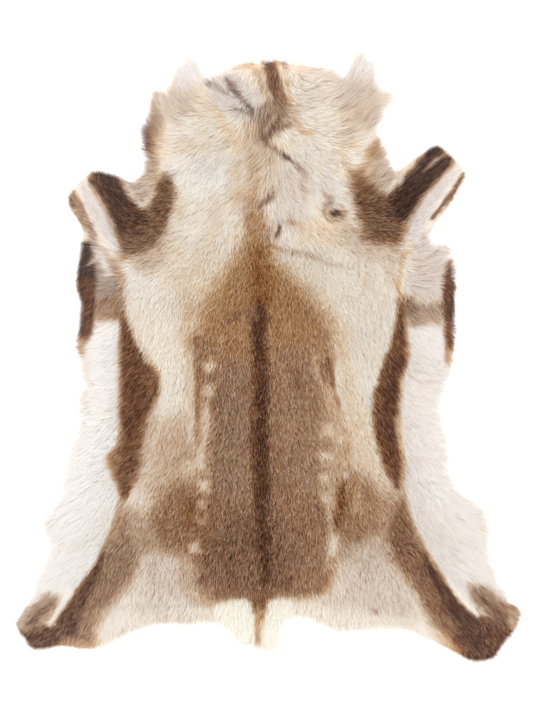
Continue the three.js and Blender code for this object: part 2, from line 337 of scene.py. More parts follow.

# %% [markdown]
# ## The coat's colours
# A hair's colour comes from how much pigment it holds and how red that pigment is. So the colours are
# two numbers: pigment runs from 0, white, to 1, nearly black, and warmth from 0, grey, to 1, rust or
# gold. A painted image could hold them, but a table of markings keeps its size in millimetres and can
# be corrected mark by mark. A marking with places (x, y, half width) is a band, a row of discs joined up
# with flat ends. One with places (x, y) is a patch inside their loop. Each is laid over the ones before
# it. cover is how much of the hair there has that colour, and soft how far its edge runs out.
# A few markings are painted shade rather than hair colour: the creases and wrinkles, the pucker's dark
# heart and the belly's thin fringes.

# %% The neck's ground: ruff, cream and gold
# (mark, pigment, warmth, cover, soft, places), lengths in mm
MARKINGS = [
    ("dusty pink of the left ruff", 0.39, 0.2, 0.85, 24, [(-240, 520), (-190, 545), (-160, 550),
        (-140, 510), (-170, 470), (-210, 460), (-250, 440)]),
    ("cream above the left neck", 0.3, 0.5, 0.6, 18, [(-128, 536, 10), (-122, 480, 12)]),
    ("dusty cream of the right ruff", 0.42, 0.25, 0.75, 28, [(120, 570), (176, 570), (236, 520), (230, 470),
        (190, 450), (140, 490), (116, 540)]),
    ("cream right of the stripe", 0.27, 0.35, 0.8, 20, [(50, 590), (120, 576), (150, 540), (110, 496),
        (60, 500)]),
    ("grey-white of the left tuft", 0.24, 0, 0.85, 10, [(-178, 536, 16), (-162, 556, 20), (-158, 620, 20)]),
    ("grey-white of the right tuft", 0.24, 0.12, 0.85, 10, [(180, 556, 22), (192, 620, 22)]),
    ("white of the tufts at the right", 0.26, 0.2, 0.8, 12, [(236, 534, 14), (262, 522, 10)]),
    ("cream below the right ruff", 0.37, 0.5, 0.7, 16, [(152, 384, 9), (150, 425, 11), (186, 418, 9)]),
    ("grey dust right of the neck's middle", 0.31, 0.15, 0.65, 20, [(12, 400), (78, 404), (84, 340),
        (76, 250), (12, 250), (8, 330)]),
    ("golden withers, right", 0.3, 0.9, 0.6, 20, [(60, 240, 14), (110, 236, 16), (150, 220, 10)]),
    ("cream of the left shoulder", 0.24, 0.85, 0.6, 24, [(-170, 220, 14), (-200, 180, 18),
        (-200, 130, 12)]),
    ("cream of the right shoulder", 0.27, 0.5, 0.6, 24, [(170, 200, 14), (200, 180, 18), (200, 130, 12)]),
    ("tan foot of the right shoulder", 0.36, 0.5, 0.6, 14, [(244, 176, 9), (250, 140, 7)]),
    ("tan along the neck's middle", 0.44, 0.7, 0.65, 15, [(-48, 470, 6), (-38, 430, 12), (-30, 385, 13),
        (-30, 340, 12), (-32, 300, 12)]),
    ("golden cream left of the middle", 0.38, 1, 0.6, 20, [(-64, 384, 10), (-62, 330, 13), (-68, 290, 12)]),
    ("golden edge of the left shoulder", 0.3, 1, 0.6, 12, [(-178, 300, 8), (-176, 270, 8)]),
    ("grey-brown of the withers", 0.7, 0.3, 0.7, 14, [(-44, 296), (-30, 286), (-6, 262), (4, 236),
        (-4, 218), (-40, 214), (-46, 250)]),
    ("golden cream, left neck", 0.28, 1, 0.8, 12, [(-108, 510, 5), (-96, 478, 9), (-84, 446, 10),
        (-64, 430, 14), (-58, 400, 8)]),
    ("golden cream, left shoulder", 0.3, 0.7, 0.55, 26, [(-110, 310, 10), (-104, 260, 16), (-120, 215, 18),
        (-160, 150, 16), (-176, 90, 8)]),
    ("golden cream, left of the stripe", 0.4, 0.55, 0.8, 7, [(-64, 580, 7), (-34, 584, 9), (-18, 556, 9),
        (-6, 525, 7), (6, 500, 4)]),
    ("grey-tan top edge", 0.36, 0.4, 0.75, 8, [(-72, 574, 7), (-30, 584, 9)]),
    ("golden cream, right neck", 0.27, 0.6, 0.3, 16, [(96, 412, 6), (130, 402, 8), (160, 400, 8),
        (190, 424, 5)]),
    ("white right of the pucker", 0.24, 0.1, 0.45, 20, [(66, 420, 14), (110, 380, 24), (116, 330, 22)]),
    ("golden band at the withers", 0.27, 1, 0.5, 9, [(40, 268, 6), (74, 256, 8), (104, 262, 6),
        (150, 246, 9), (176, 250, 5)]),
    ("golden fleck, right", 0.25, 0.8, 0.35, 8, [(118, 402, 4), (144, 398, 5), (158, 372, 4)]),
]
print("markings so far:", len(MARKINGS))

# %% The neck's stripe, fan and pucker
MARKINGS += [
    ("white by the ear", 0.27, 0.05, 0.9, 9, [(-128, 556), (-90, 566), (-56, 560), (-18, 520), (-2, 478),
        (-20, 462), (-72, 474), (-112, 506)]),
    ("golden rim, right of the stripe", 0.4, 1, 0.8, 6, [(34, 560, 3), (42, 520, 4), (48, 490, 4),
        (58, 462, 4), (72, 442, 5), (96, 444, 2)]),
    ("tan right of the fan", 0.36, 0.5, 0.6, 16, [(60, 512, 8), (58, 450, 10)]),
    ("neck stripe", 0.67, 0.5, 0.95, 5, [(-4, 624, 15), (8, 560, 14), (18, 530, 15), (26, 500, 13),
        (28, 474, 9)]),
    ("tan right of the stripe's top", 0.56, 0.1, 0.8, 8, [(30, 590, 8), (38, 566, 6)]),
    ("neck stripe, darkest", 0.9, 0.5, 0.6, 7, [(-2, 604, 8), (4, 570, 9), (14, 526, 8), (26, 496, 6)]),
    ("golden heart of the stripe", 0.5, 1, 0.4, 6, [(28, 512, 4), (34, 484, 5)]),
    ("grey fan below the stripe", 0.62, 0.35, 0.85, 14, [(40, 504), (42, 458), (14, 438), (-14, 420),
        (-28, 442), (-30, 472), (-14, 496), (8, 510)]),
    ("black streaks in the fan", 1, 0.25, 0.65, 6, [(22, 466, 2), (6, 446, 6), (-8, 426, 7)]),
    ("black streak in the fan, left", 0.85, 0.2, 0.6, 5, [(4, 476, 1), (-8, 460, 3), (-16, 440, 3)]),
    ("black streak in the fan, right", 0.85, 0.2, 0.45, 7, [(46, 462, 3), (28, 450, 6), (6, 438, 4)]),
    ("pale streak in the fan", 0.25, 0.5, 0.6, 3, [(14, 474, 1), (2, 462, 2), (-12, 444, 2)]),
    ("brown shade below the fan", 0.4, 0.55, 0.55, 14, [(-20, 420), (10, 408), (14, 376), (-10, 330),
        (-34, 340), (-40, 390)]),
    ("pucker", 0.7, 0.25, 0.7, 6, [(-8, 424, 7), (14, 408, 6), (40, 395, 4), (66, 370, 2)]),
    # Painted shadow: the pucker's dark heart is the shadow line in its fold, drawn as darker hair.
    ("painted shadow line in the pucker's heart", 1, 0.25, 0.9, 3, [(22, 403, 2), (36, 396, 4), (54, 382, 1)]),
    # Painted shade: the two creases by the pucker are the shade in folds of the hide, drawn as darker hair.
    ("painted shade in the crease below the pucker", 0.55, 0.25, 0.4, 6, [(56, 384, 3), (76, 362, 4), (66, 340, 3),
        (80, 322, 3)]),
    ("painted shade in the crease right of the pucker", 0.45, 0.25, 0.4, 6, [(76, 362, 3), (92, 346, 4), (92, 322, 2)]),
]
print("markings so far:", len(MARKINGS))

# %% Strokes, edges and flecks of the neck and withers
MARKINGS += [
    ("stroke by the ear", 0.95, 0.1, 0.85, 4, [(-84, 556, 2), (-72, 534, 4), (-52, 508, 3), (-28, 484, 2)]),
    ("grey beside that stroke", 0.42, 0, 0.15, 8, [(-80, 552, 8), (-62, 528, 10), (-40, 498, 6)]),
    ("stroke by the ear, feathered head", 0.66, 0, 0.75, 8, [(-84, 556, 5), (-74, 540, 8), (-62, 520, 5)]),
    ("grey specks right of the pucker", 0.25, 0.15, 0.6, 16, [(84, 352), (130, 334), (136, 300),
        (108, 300)]),
    ("stroke by the ear, upper", 0.7, 0, 0.5, 6, [(-126, 548, 7), (-106, 540, 7), (-86, 522, 4)]),
    ("stroke by the ear, lower", 0.92, 0.2, 0.75, 3, [(-72, 492, 1), (-50, 487, 2), (-32, 478, 2)]),
    ("brown edge of the left neck", 0.66, 0.4, 0.85, 16, [(-244, 530, 6), (-240, 500, 14), (-236, 460, 24),
        (-240, 410, 16), (-238, 370, 14)]),
    ("darkest left edge", 0.95, 0.65, 0.9, 11, [(-253, 496, 4), (-250, 460, 10), (-247, 415, 12),
        (-245, 380, 5)]),
    ("pink-brown left edge", 0.6, 0.45, 0.7, 12, [(-236, 380, 12), (-226, 350, 10), (-216, 336, 8)]),
    ("pink-brown right edge", 0.62, 0.72, 0.95, 13, [(226, 432, 7), (213, 402, 16), (204, 368, 15),
        (178, 362, 8)]),
    ("white streak, right edge", 0.15, 0.35, 0.7, 6, [(214, 388, 8), (196, 356, 7)]),
    ("grey fleck, right ruff", 0.5, 0.2, 0.45, 5, [(136, 440, 2), (160, 448, 4), (182, 450, 2)]),
    ("grey fleck, left neck", 0.5, 0.2, 0.4, 5, [(-90, 428, 5), (-78, 420, 4)]),
    ("grey dust, left shoulder", 0.36, 0.2, 0.35, 12, [(-106, 318, 6), (-96, 296, 7), (-112, 262, 6)]),
    ("dark streak, middle", 0.9, 0.25, 0.85, 5, [(12, 320, 3), (-4, 308, 7), (-22, 292, 5)]),
    ("grey round that streak", 0.45, 0.35, 0.6, 10, [(16, 334, 8), (-10, 314, 10)]),
    ("dark spot, right", 0.96, 0.3, 1, 5, [(122, 282, 6), (134, 282, 10), (148, 284, 5)]),
    ("ring round that spot", 0.8, 0.4, 0.7, 4, [(130, 306, 3), (116, 300, 4), (110, 284, 3), (122, 268, 3),
        (146, 268, 3), (156, 284, 3), (148, 300, 2)]),
    ("arc over that spot", 0.66, 0.4, 0.55, 4, [(112, 326, 2), (118, 316, 4), (132, 312, 2)]),
    ("fleck below the neck", 0.72, 0.25, 0.6, 5, [(36, 268, 2), (50, 264, 4), (66, 260, 2)]),
    ("dark hairs of the withers", 0.84, 0.5, 0.8, 4, [(-44, 262, 2), (-30, 240, 4), (-8, 228, 4),
        (4, 236, 2)]),
    ("dark hairs of the withers, lower", 0.8, 0.6, 0.6, 4, [(-38, 240, 2), (-22, 222, 4), (-4, 214, 3)]),
    ("dark hairs of the withers, right", 0.8, 0.4, 0.7, 4, [(2, 222, 2), (14, 214, 3), (26, 206, 2)]),
    ("whorl's dark side", 0.88, 0.3, 0.85, 4, [(24, 258, 3), (22, 246, 5), (12, 234, 3)]),
    # Painted shade: the crease below the withers is the shade in a fold of the hide, drawn as darker hair.
    ("painted shade in the crease below the withers", 0.48, 0.3, 0.6, 6, [(20, 210, 4), (44, 206, 6), (80, 200, 5),
        (120, 182, 3), (170, 172, 2)]),
]
print("markings so far:", len(MARKINGS))

# %% The ground round the saddle
MARKINGS += [
    ("dun between saddle and bands, left", 0.39, 0.62, 0.85, 34, [(-160, -120), (-228, -150), (-242, -200),
        (-250, -262), (-220, -300), (-150, -300), (-140, -180)]),
    ("dun between saddle and bands, right", 0.27, 0.7, 0.8, 34, [(140, -90), (210, -130), (226, -200),
        (260, -262), (220, -300), (150, -300)]),
    ("brown of the left hip", 0.42, 0.55, 0.95, 26, [(-292, -306), (-240, -312), (-204, -256), (-130, -250),
        (-120, -400), (-170, -420), (-200, -404), (-262, -400), (-310, -420)]),
    ("brown of the right hip", 0.5, 0.55, 0.85, 24, [(272, -280), (230, -276), (190, -236), (140, -240),
        (120, -430), (150, -420), (200, -384), (250, -376), (300, -384)]),
    ("golden verge of the saddle's top", 0.33, 0.85, 0.8, 34, [(-38, 262), (-78, 200), (-122, 150),
        (-152, 90), (-150, 20), (140, 20), (124, 80), (84, 132), (40, 176), (12, 206)]),
    ("golden verge, left", 0.31, 0.9, 0.8, 9, [(-160, 100, 7), (-160, 40, 8), (-158, -40, 8),
        (-156, -120, 8)]),
    ("golden verge, right", 0.26, 0.9, 0.6, 14, [(132, 70, 10), (150, 10, 12), (158, -50, 12),
        (168, -110, 10), (176, -180, 8)]),
    ("cream of the right flank", 0.24, 0.75, 0.5, 20, [(150, -60), (196, -80), (206, -170), (190, -230),
        (176, -180), (170, -120)]),
]
print("markings so far:", len(MARKINGS))

# %% The saddle and the line of the back
MARKINGS += [
    ("saddle", 0.61, 0.62, 1, 11, [(-148, 34), (-60, 60), (40, 60), (110, 40), (128, -10), (122, -80),
        (110, -140), (104, -200), (106, -260), (118, -310), (120, -360), (114, -400), (126, -440),
        (116, -474), (84, -486), (30, -488), (6, -498), (-56, -496), (-120, -494), (-156, -466),
        (-158, -430), (-150, -390), (-130, -330), (-118, -240), (-118, -160), (-126, -100), (-144, -50),
        (-150, 10)]),
    ("dappled strip, left", 0.52, 0.7, 0.8, 8, [(-146, -60), (-124, -90), (-114, -160), (-114, -240),
        (-124, -340), (-136, -380), (-154, -370), (-150, -330), (-146, -240), (-146, -160)]),
    ("cream beside the left seam", 0.24, 0.6, 0.85, 6, [(-160, 0, 6), (-158, -60, 7), (-156, -120, 7),
        (-154, -172, 5)]),
    ("dappled strip, right", 0.38, 0.7, 0.85, 9, [(116, -60), (136, -90), (156, -140), (164, -200),
        (160, -250), (148, -280), (130, -300), (116, -300), (104, -240), (100, -150)]),
    ("saddle's top", 0.57, 0.75, 1, 30, [(-42, 312), (-22, 292), (-4, 262), (-4, 228), (8, 184), (42, 152),
        (76, 116), (112, 76), (128, 20), (100, -20), (-60, -20), (-136, 0), (-138, 40), (-116, 96),
        (-80, 150), (-50, 204), (-42, 250)]),
    ("gold on the saddle's shoulders", 0.54, 0.9, 0.6, 30, [(-46, 210), (-86, 150), (-118, 90), (-116, 30),
        (-60, 20), (60, 20), (84, 60), (60, 100), (16, 160), (0, 220)]),
    ("rust of the withers", 0.73, 1, 1, 17, [(-20, 216, 12), (-16, 180, 17), (-14, 140, 21),
        (-18, 100, 17)]),
    ("rust right of the back's line", 0.68, 1, 0.25, 18, [(14, 168, 10), (34, 130, 14), (46, 96, 10)]),
    ("pale middle of the back, left", 0.59, 0.5, 0.7, 26, [(-44, -40), (-110, -60), (-112, -240),
        (-60, -300), (-36, -200)]),
    ("pale middle of the back, right", 0.55, 0.58, 0.8, 26, [(24, 0), (100, -20), (130, -140), (130, -250),
        (80, -290), (30, -200)]),
    ("shade right of the back's line", 0.7, 0.6, 0.6, 16, [(58, -30, 10), (60, -64, 9)]),
    ("tan between seam and line, right", 0.46, 0.75, 0.65, 16, [(112, 24, 10), (110, -6, 8)]),
    ("dark rump", 0.74, 0.55, 0.8, 30, [(-70, -320), (0, -320), (36, -350), (42, -420), (36, -460),
        (-20, -470), (-80, -474), (-140, -450), (-130, -380)]),
    ("line of the back", 0.9, 0.6, 0.95, 10, [(-19, 106, 1), (-17, 92, 7), (-13, 74, 17), (-20, 48, 14),
        (-17, 10, 15), (-13, -50, 15), (-13, -110, 15), (-16, -170, 18), (-15, -220, 16), (-12, -290, 16),
        (-10, -350, 12), (-7, -400, 13), (-6, -430, 10), (-6, -456, 6)]),
    ("rust in the line of the back", 0.8, 0.95, 0.55, 8, [(4, 116, 5), (-3, 92, 6), (-5, 56, 4),
        (-6, 20, 4), (-30, -60, 3), (-32, -160, 3), (-26, -260, 4)]),
    ("shade across the shoulders", 0.74, 0.5, 0.5, 14, [(-90, 66, 6), (-60, 78, 9), (-20, 84, 8)]),
]
print("markings so far:", len(MARKINGS))

# %% The saddle's seams and dapples, and the haunches
MARKINGS += [
    ("saddle's left seam", 0.66, 0.7, 0.75, 5, [(-142, 50, 2), (-146, 0, 4), (-140, -50, 5),
        (-142, -110, 4), (-142, -190, 3)]),
    ("saddle's right seam", 0.7, 0.75, 0.8, 4, [(112, 10, 2), (126, -30, 4), (131, -66, 4),
        (142, -106, 2)]),
    ("saddle's right rim, low", 0.56, 0.8, 0.5, 9, [(156, -150, 4), (160, -190, 6), (160, -236, 5)]),
    ("pale strip in the left seam", 0.26, 0.75, 0.95, 6, [(-123, -96, 4), (-124, -120, 9), (-126, -160, 9),
        (-132, -188, 6)]),
    ("pale strip inside the right seam", 0.32, 0.8, 0.75, 8, [(86, 10, 5), (94, -20, 5), (108, -60, 6),
        (122, -90, 6), (134, -124, 5)]),
    ("tan strip, right, low", 0.56, 0.75, 0.5, 12, [(130, -400, 6), (132, -440, 10), (116, -482, 10)]),
    ("shade left of the seam", 0.5, 0.6, 0.6, 14, [(-190, -206, 6), (-164, -202, 9), (-140, -204, 8)]),
    ("dapple, left 1", 0.26, 0.7, 1, 11, [(-122, -16, 10), (-114, -30, 11)]),
    ("dapple, left 2", 0.26, 0.7, 1, 11, [(-118, -62, 10), (-116, -80, 10)]),
    ("dapple, left 3", 0.22, 0.7, 1, 10, [(-138, -184, 6), (-135, -212, 10), (-135, -230, 9)]),
    ("dapple, left 4", 0.25, 0.7, 1, 10, [(-160, -216, 10), (-161, -234, 8)]),
    ("dapple, right 1", 0.24, 0.7, 0.95, 11, [(120, -140, 10), (122, -162, 12)]),
    ("dapple, right 2", 0.26, 0.7, 0.95, 11, [(146, -164, 8), (148, -176, 7)]),
    ("dapple, right 3", 0.24, 0.7, 0.95, 11, [(107, -200, 9), (118, -208, 10), (132, -208, 8)]),
    ("dapple, right 4", 0.24, 0.7, 0.95, 11, [(112, -240, 11), (114, -258, 10)]),
    ("left haunch", 0.68, 0.68, 0.85, 20, [(-228, -320), (-206, -282), (-180, -262), (-150, -270),
        (-116, -290), (-104, -340), (-116, -396), (-165, -404), (-208, -396), (-226, -358)]),
    ("right haunch", 0.6, 0.7, 0.85, 18, [(140, -268), (160, -240), (186, -258), (212, -270), (226, -310),
        (214, -356), (180, -380), (150, -376), (138, -340)]),
    ("pale spots in the right haunch", 0.38, 0.7, 0.75, 8, [(178, -266, 8), (180, -290, 5),
        (176, -316, 8)]),
    ("rusty stroke, left", 0.78, 0.95, 0.75, 8, [(-160, -286, 4), (-156, -350, 6)]),
    ("rusty stroke, right", 0.77, 0.98, 0.9, 11, [(151, -250, 5), (147, -286, 12), (142, -326, 12),
        (140, -352, 5)]),
    ("dapple, left 5", 0.22, 0.7, 1, 9, [(-128, -254, 10), (-129, -274, 10)]),
    ("dapple, left 6", 0.32, 0.7, 0.95, 8, [(-133, -292, 9), (-133, -306, 7)]),
    ("dapple, left 7", 0.42, 0.75, 0.85, 8, [(-131, -324, 7), (-131, -340, 7)]),
    ("dapple, left 8", 0.25, 0.7, 1, 9, [(-151, -378, 11), (-147, -396, 10)]),
    ("dapple, right 5", 0.26, 0.7, 0.95, 9, [(114, -276, 9), (116, -292, 9)]),
    ("dapple, right 6", 0.2, 0.75, 0.95, 8, [(132, -364, 7), (134, -384, 9), (130, -400, 7)]),
    ("dapple, right 7", 0.2, 0.3, 0.8, 6, [(154, -236, 6), (157, -246, 5)]),
]
print("markings so far:", len(MARKINGS))

# %% The rump and the tail
MARKINGS += [
    ("dun rump, left", 0.3, 0.3, 0.85, 26, [(-200, -400), (-150, -424), (-146, -460), (-120, -500),
        (-200, -524), (-260, -520), (-262, -470), (-250, -410)]),
    ("tan verge of the rump, left", 0.46, 0.62, 0.75, 14, [(-172, -396, 8), (-170, -440, 10),
        (-152, -480, 10), (-112, -504, 8)]),
    ("grey dust below the right haunch", 0.45, 0.4, 0.7, 22, [(160, -378), (236, -372), (246, -420),
        (200, -440), (160, -420)]),
    ("tan between haunch and leg, right", 0.45, 0.62, 0.75, 14, [(238, -286, 7), (234, -330, 9),
        (226, -372, 9)]),
    ("dun rump, right", 0.32, 0.32, 0.85, 24, [(180, -390), (160, -420), (140, -470), (110, -500),
        (200, -520), (290, -530), (290, -480), (250, -420), (224, -380)]),
    ("grey flecks, left rump", 0.4, 0.2, 0.45, 14, [(-236, -410, 8), (-226, -450, 10), (-190, -470, 8)]),
    ("grey spot, right rump", 0.62, 0.2, 0.7, 5, [(206, -512, 4), (220, -516, 4)]),
    ("pale hem, left", 0.3, 0.45, 0.8, 12, [(-100, -540, 14), (-200, -538, 12), (-300, -572, 12)]),
    ("pale hem, right", 0.2, 0.5, 0.8, 12, [(60, -540, 14), (200, -548, 12), (290, -566, 12)]),
    ("white beside the tail, left", 0.04, 0.85, 1, 7, [(-104, -506), (-66, -490), (-38, -496), (-30, -530),
        (-34, -610), (-90, -610), (-104, -560)]),
    ("white beside the tail, right", 0.04, 0.85, 1, 7, [(0, -500), (18, -488), (44, -494), (48, -530),
        (34, -610), (-10, -610), (-6, -550)]),
    ("tail", 0.7, 0.65, 1, 5, [(-18, -470, 26), (-18, -492, 16), (-16, -516, 12)]),
    ("tail's end", 0.52, 0.8, 0.95, 5, [(-16, -512, 11), (-18, -550, 7), (-22, -580, 3)]),
    ("white in the tail's end", 0.15, 0.8, 0.7, 4, [(-12, -534, 3), (-13, -560, 4)]),
]
print("markings so far:", len(MARKINGS))

# %% The flank bands
MARKINGS += [
    ("left flank band", 0.8, 0.68, 1, 8, [(-302, 100), (-284, 70), (-276, 50), (-252, 0), (-226, -30),
        (-217, -56), (-221, -82), (-233, -108), (-244, -140), (-251, -170), (-252, -200), (-258, -230),
        (-271, -260), (-286, -292), (-298, -276), (-304, -240), (-302, -200), (-297, -150), (-299, 0)]),
    ("fading inner side of the left band", 0.58, 0.55, 0.6, 15, [(-232, -112, 5), (-242, -146, 8),
        (-249, -184, 9), (-256, -222, 9), (-272, -258, 7)]),
    ("left band's dark middle", 0.92, 0.65, 0.3, 12, [(-286, 40, 4), (-270, -30, 16), (-262, -80, 20),
        (-274, -140, 14), (-278, -220, 10)]),
    ("tan point of the left band", 0.8, 0.62, 0.8, 12, [(-300, -182), (-316, -196), (-322, -210),
        (-314, -236), (-300, -268), (-292, -236)]),
    ("tan inner edge of the left band", 0.5, 0.95, 0.6, 6, [(-262, 30, 3), (-238, -8, 3), (-220, -36, 3)]),
    ("right flank band", 0.84, 0.75, 1, 8, [(262, 112), (276, 112), (276, 60), (278, 30), (281, 0),
        (276, -30), (266, -56), (264, -100), (258, -140), (262, -170), (268, -210), (268, -250),
        (258, -268), (240, -240), (224, -204), (213, -150), (212, -100), (221, -50), (237, 0), (252, 50),
        (260, 84)]),
    ("rust in the right band", 0.76, 1, 0.5, 9, [(266, 40, 4), (252, -10, 9), (236, -60, 8),
        (226, -120, 6)]),
    ("right band's dark middle", 0.94, 0.7, 0.75, 10, [(262, 0, 6), (248, -50, 15), (240, -130, 12),
        (248, -200, 8)]),
    ("golden streak, right flank", 0.32, 0.95, 0.45, 6, [(163, -8, 3), (166, -36, 4), (164, -60, 3)]),
    ("grey arc, left flank", 0.4, 0.25, 0.35, 3, [(-216, -10, 1), (-200, -2, 2), (-176, -1, 2),
        (-152, -8, 1)]),
]
print("markings so far:", len(MARKINGS))

# %% The hind legs' bands
MARKINGS += [
    ("left hind band", 0.61, 0.5, 1, 18, [(-300, -290), (-284, -350), (-262, -404), (-272, -450),
        (-308, -494), (-344, -546), (-352, -600), (-450, -600), (-430, -548), (-414, -520), (-384, -472),
        (-350, -424), (-322, -366)]),
    ("tan top of the left hind band", 0.46, 0.6, 0.7, 12, [(-302, -330, 10), (-306, -372, 10)]),
    ("shade between haunch and leg, left", 0.56, 0.5, 0.6, 14, [(-244, -352, 9), (-248, -398, 10)]),
    ("left hind band's dark side", 0.92, 0.5, 0.85, 9, [(-328, -392, 5), (-344, -420, 12), (-368, -466, 17),
        (-398, -524, 22), (-410, -562, 22)]),
    ("right hind band", 0.71, 0.6, 1, 17, [(274, -286), (250, -320), (240, -370), (256, -420), (282, -452),
        (312, -504), (340, -552), (386, -606), (470, -600), (440, -540), (424, -528), (386, -496),
        (350, -448), (318, -395), (292, -337)]),
    ("right hind band's dark side", 0.94, 0.6, 0.95, 9, [(308, -392, 4), (322, -420, 9), (342, -450, 13),
        (366, -494, 17), (410, -540, 20)]),
    ("rust edge, left", 0.58, 0.85, 0.7, 3, [(-300, 60, 5), (-298, -60, 4), (-299, -160, 4),
        (-320, -206, 4), (-312, -237, 4), (-297, -280, 4), (-314, -346, 4), (-344, -414, 3),
        (-378, -466, 3), (-408, -508, 3)]),
    ("rust edge, right", 0.56, 0.85, 0.6, 4, [(279, 110, 5), (279, 40, 4), (282, 0, 4), (272, -50, 3),
        (267, -110, 3), (263, -150, 4), (273, -210, 4), (272, -270, 4), (287, -330, 4), (316, -392, 4),
        (350, -446, 4), (386, -494, 3), (418, -526, 3)]),
]
print("markings so far:", len(MARKINGS))

# %% The belly
MARKINGS += [
    ("left belly", 0.15, 0.25, 1, 5, [(-302, 70), (-301, 0), (-300, -104), (-304, -176), (-327, -206),
        (-318, -237), (-300, -284), (-320, -356), (-350, -420), (-384, -468), (-406, -500), (-440, -500),
        (-520, -500), (-520, -300), (-460, -200), (-420, 0), (-420, 52), (-370, 56), (-340, 70)]),
    ("right belly", 0.2, 0.2, 1, 5, [(284, 58), (284, 20), (286, 0), (272, -54), (268, -110), (268, -150),
        (278, -210), (276, -266), (290, -330), (320, -390), (354, -445), (388, -492), (420, -524),
        (470, -500), (520, -480), (520, -300), (440, -180), (420, 0), (420, 60), (340, 60)]),
    # Painted shade: the belly's thin outer fringes are drawn greyer, as the shade along the hide's edge.
    ("painted shade on the left belly's thin fringe", 0.25, 0.35, 0.85, 10, [(-374, 20, 9), (-372, -60, 13),
        (-380, -130, 10), (-394, -170, 8), (-416, -240, 7), (-452, -310, 8), (-452, -390, 8),
        (-474, -440, 8)]),
    ("painted shade on the right belly's thin fringe", 0.26, 0.4, 0.75, 11, [(350, -70, 5), (350, -130, 5),
        (362, -210, 6), (404, -270, 8), (438, -316, 8), (446, -390, 8), (456, -440, 8)]),
    ("pink-grey of the left groin", 0.2, 0.35, 0.5, 16, [(-300, -300, 6), (-330, -340, 12),
        (-380, -380, 10), (-420, -400, 6)]),
    ("pink-grey of the right groin", 0.2, 0.4, 0.45, 14, [(290, -296, 6), (340, -330, 10), (390, -370, 10),
        (430, -410, 8)]),
    ("tan lines of the right belly", 0.26, 0.8, 0.4, 4, [(352, -290, 2), (400, -300, 2), (440, -312, 2)]),
    # Painted shade: the two grey wrinkles of the right belly are the shade in its folds, drawn as grey
    # hair.
    ("painted shade in the right belly's wrinkle", 0.42, 0.25, 0.5, 4, [(284, -44, 2), (310, -56, 3), (350, -52, 2)]),
    ("painted shade in the right belly's upper wrinkle", 0.36, 0.25, 0.4, 4, [(282, -30, 2), (310, -36, 2), (346, -38, 2)]),
]
print("markings so far:", len(MARKINGS))

# %% The armpits and the outer strips
MARKINGS += [
    ("left armpit", 0.54, 0.1, 0.95, 12, [(-356, 240), (-320, 200), (-296, 180), (-288, 130), (-296, 80),
        (-350, 84), (-370, 160)]),
    ("pale hair of the left armpit", 0.12, 0.2, 0.8, 8, [(-346, 216, 5), (-330, 190, 8), (-318, 160, 7)]),
    ("left armpit's grey patch", 0.6, 0.5, 0.9, 9, [(-350, 108), (-326, 118), (-296, 124), (-288, 96),
        (-302, 72), (-334, 66), (-352, 74)]),
    ("left outer strip", 0.99, 0.3, 1, 4, [(-366, 226, 8), (-366, 206, 14), (-366, 176, 20),
        (-366, 148, 22)]),
    ("left outer strip, lower", 0.95, 0.75, 0.97, 5, [(-366, 154, 20), (-365, 110, 19), (-365, 66, 18),
        (-368, 44, 15), (-371, 30, 10)]),
    ("left outer strip's pale end", 0.66, 0.6, 0.85, 6, [(-372, 34, 10), (-376, 16, 5), (-377, -10, 2)]),
    ("white hairs over the strip", 0.14, 0.2, 0.8, 3, [(-342, 200, 5), (-352, 188, 3), (-362, 182, 1)]),
    ("left armpit's tan line", 0.45, 0.95, 0.7, 5, [(-310, 190, 3), (-300, 160, 4), (-288, 130, 3)]),
    ("tan at the left armpit's top", 0.5, 0.6, 0.7, 8, [(-298, 208, 6), (-304, 190, 5)]),
    ("right armpit", 0.33, 0.1, 0.9, 12, [(300, 240), (360, 240), (370, 160), (356, 90), (290, 90),
        (282, 140), (286, 200)]),
    ("grey lines of the right armpit", 0.45, 0.2, 0.4, 4, [(292, 170, 2), (316, 190, 3), (340, 206, 2)]),
    ("right armpit's brown patch", 0.55, 0.3, 0.9, 9, [(276, 104), (310, 100), (352, 104), (352, 64),
        (320, 62), (282, 58)]),
    ("peach line over that patch", 0.36, 0.9, 0.7, 6, [(272, 112, 4), (310, 110, 5), (350, 108, 3)]),
    ("that patch's dark side", 0.7, 0.5, 0.7, 10, [(284, 112, 6), (290, 84, 8)]),
    ("right outer strip", 0.95, 0.75, 0.97, 4, [(366, 190, 3), (365, 170, 7), (364, 146, 12),
        (364, 112, 15), (365, 84, 13), (365, 56, 11)]),
    ("right outer strip, lower", 0.88, 0.85, 0.95, 4, [(365, 62, 13), (364, 36, 10), (364, 10, 7)]),
    ("right outer strip's pale end", 0.6, 0.8, 0.8, 5, [(363, 14, 8), (362, -6, 6), (362, -22, 3)]),
    ("right armpit's tan line", 0.4, 1, 0.7, 5, [(286, 208, 4), (272, 194, 5), (264, 160, 3), (262, 130, 4),
        (264, 112, 4)]),
]
print("markings so far:", len(MARKINGS))

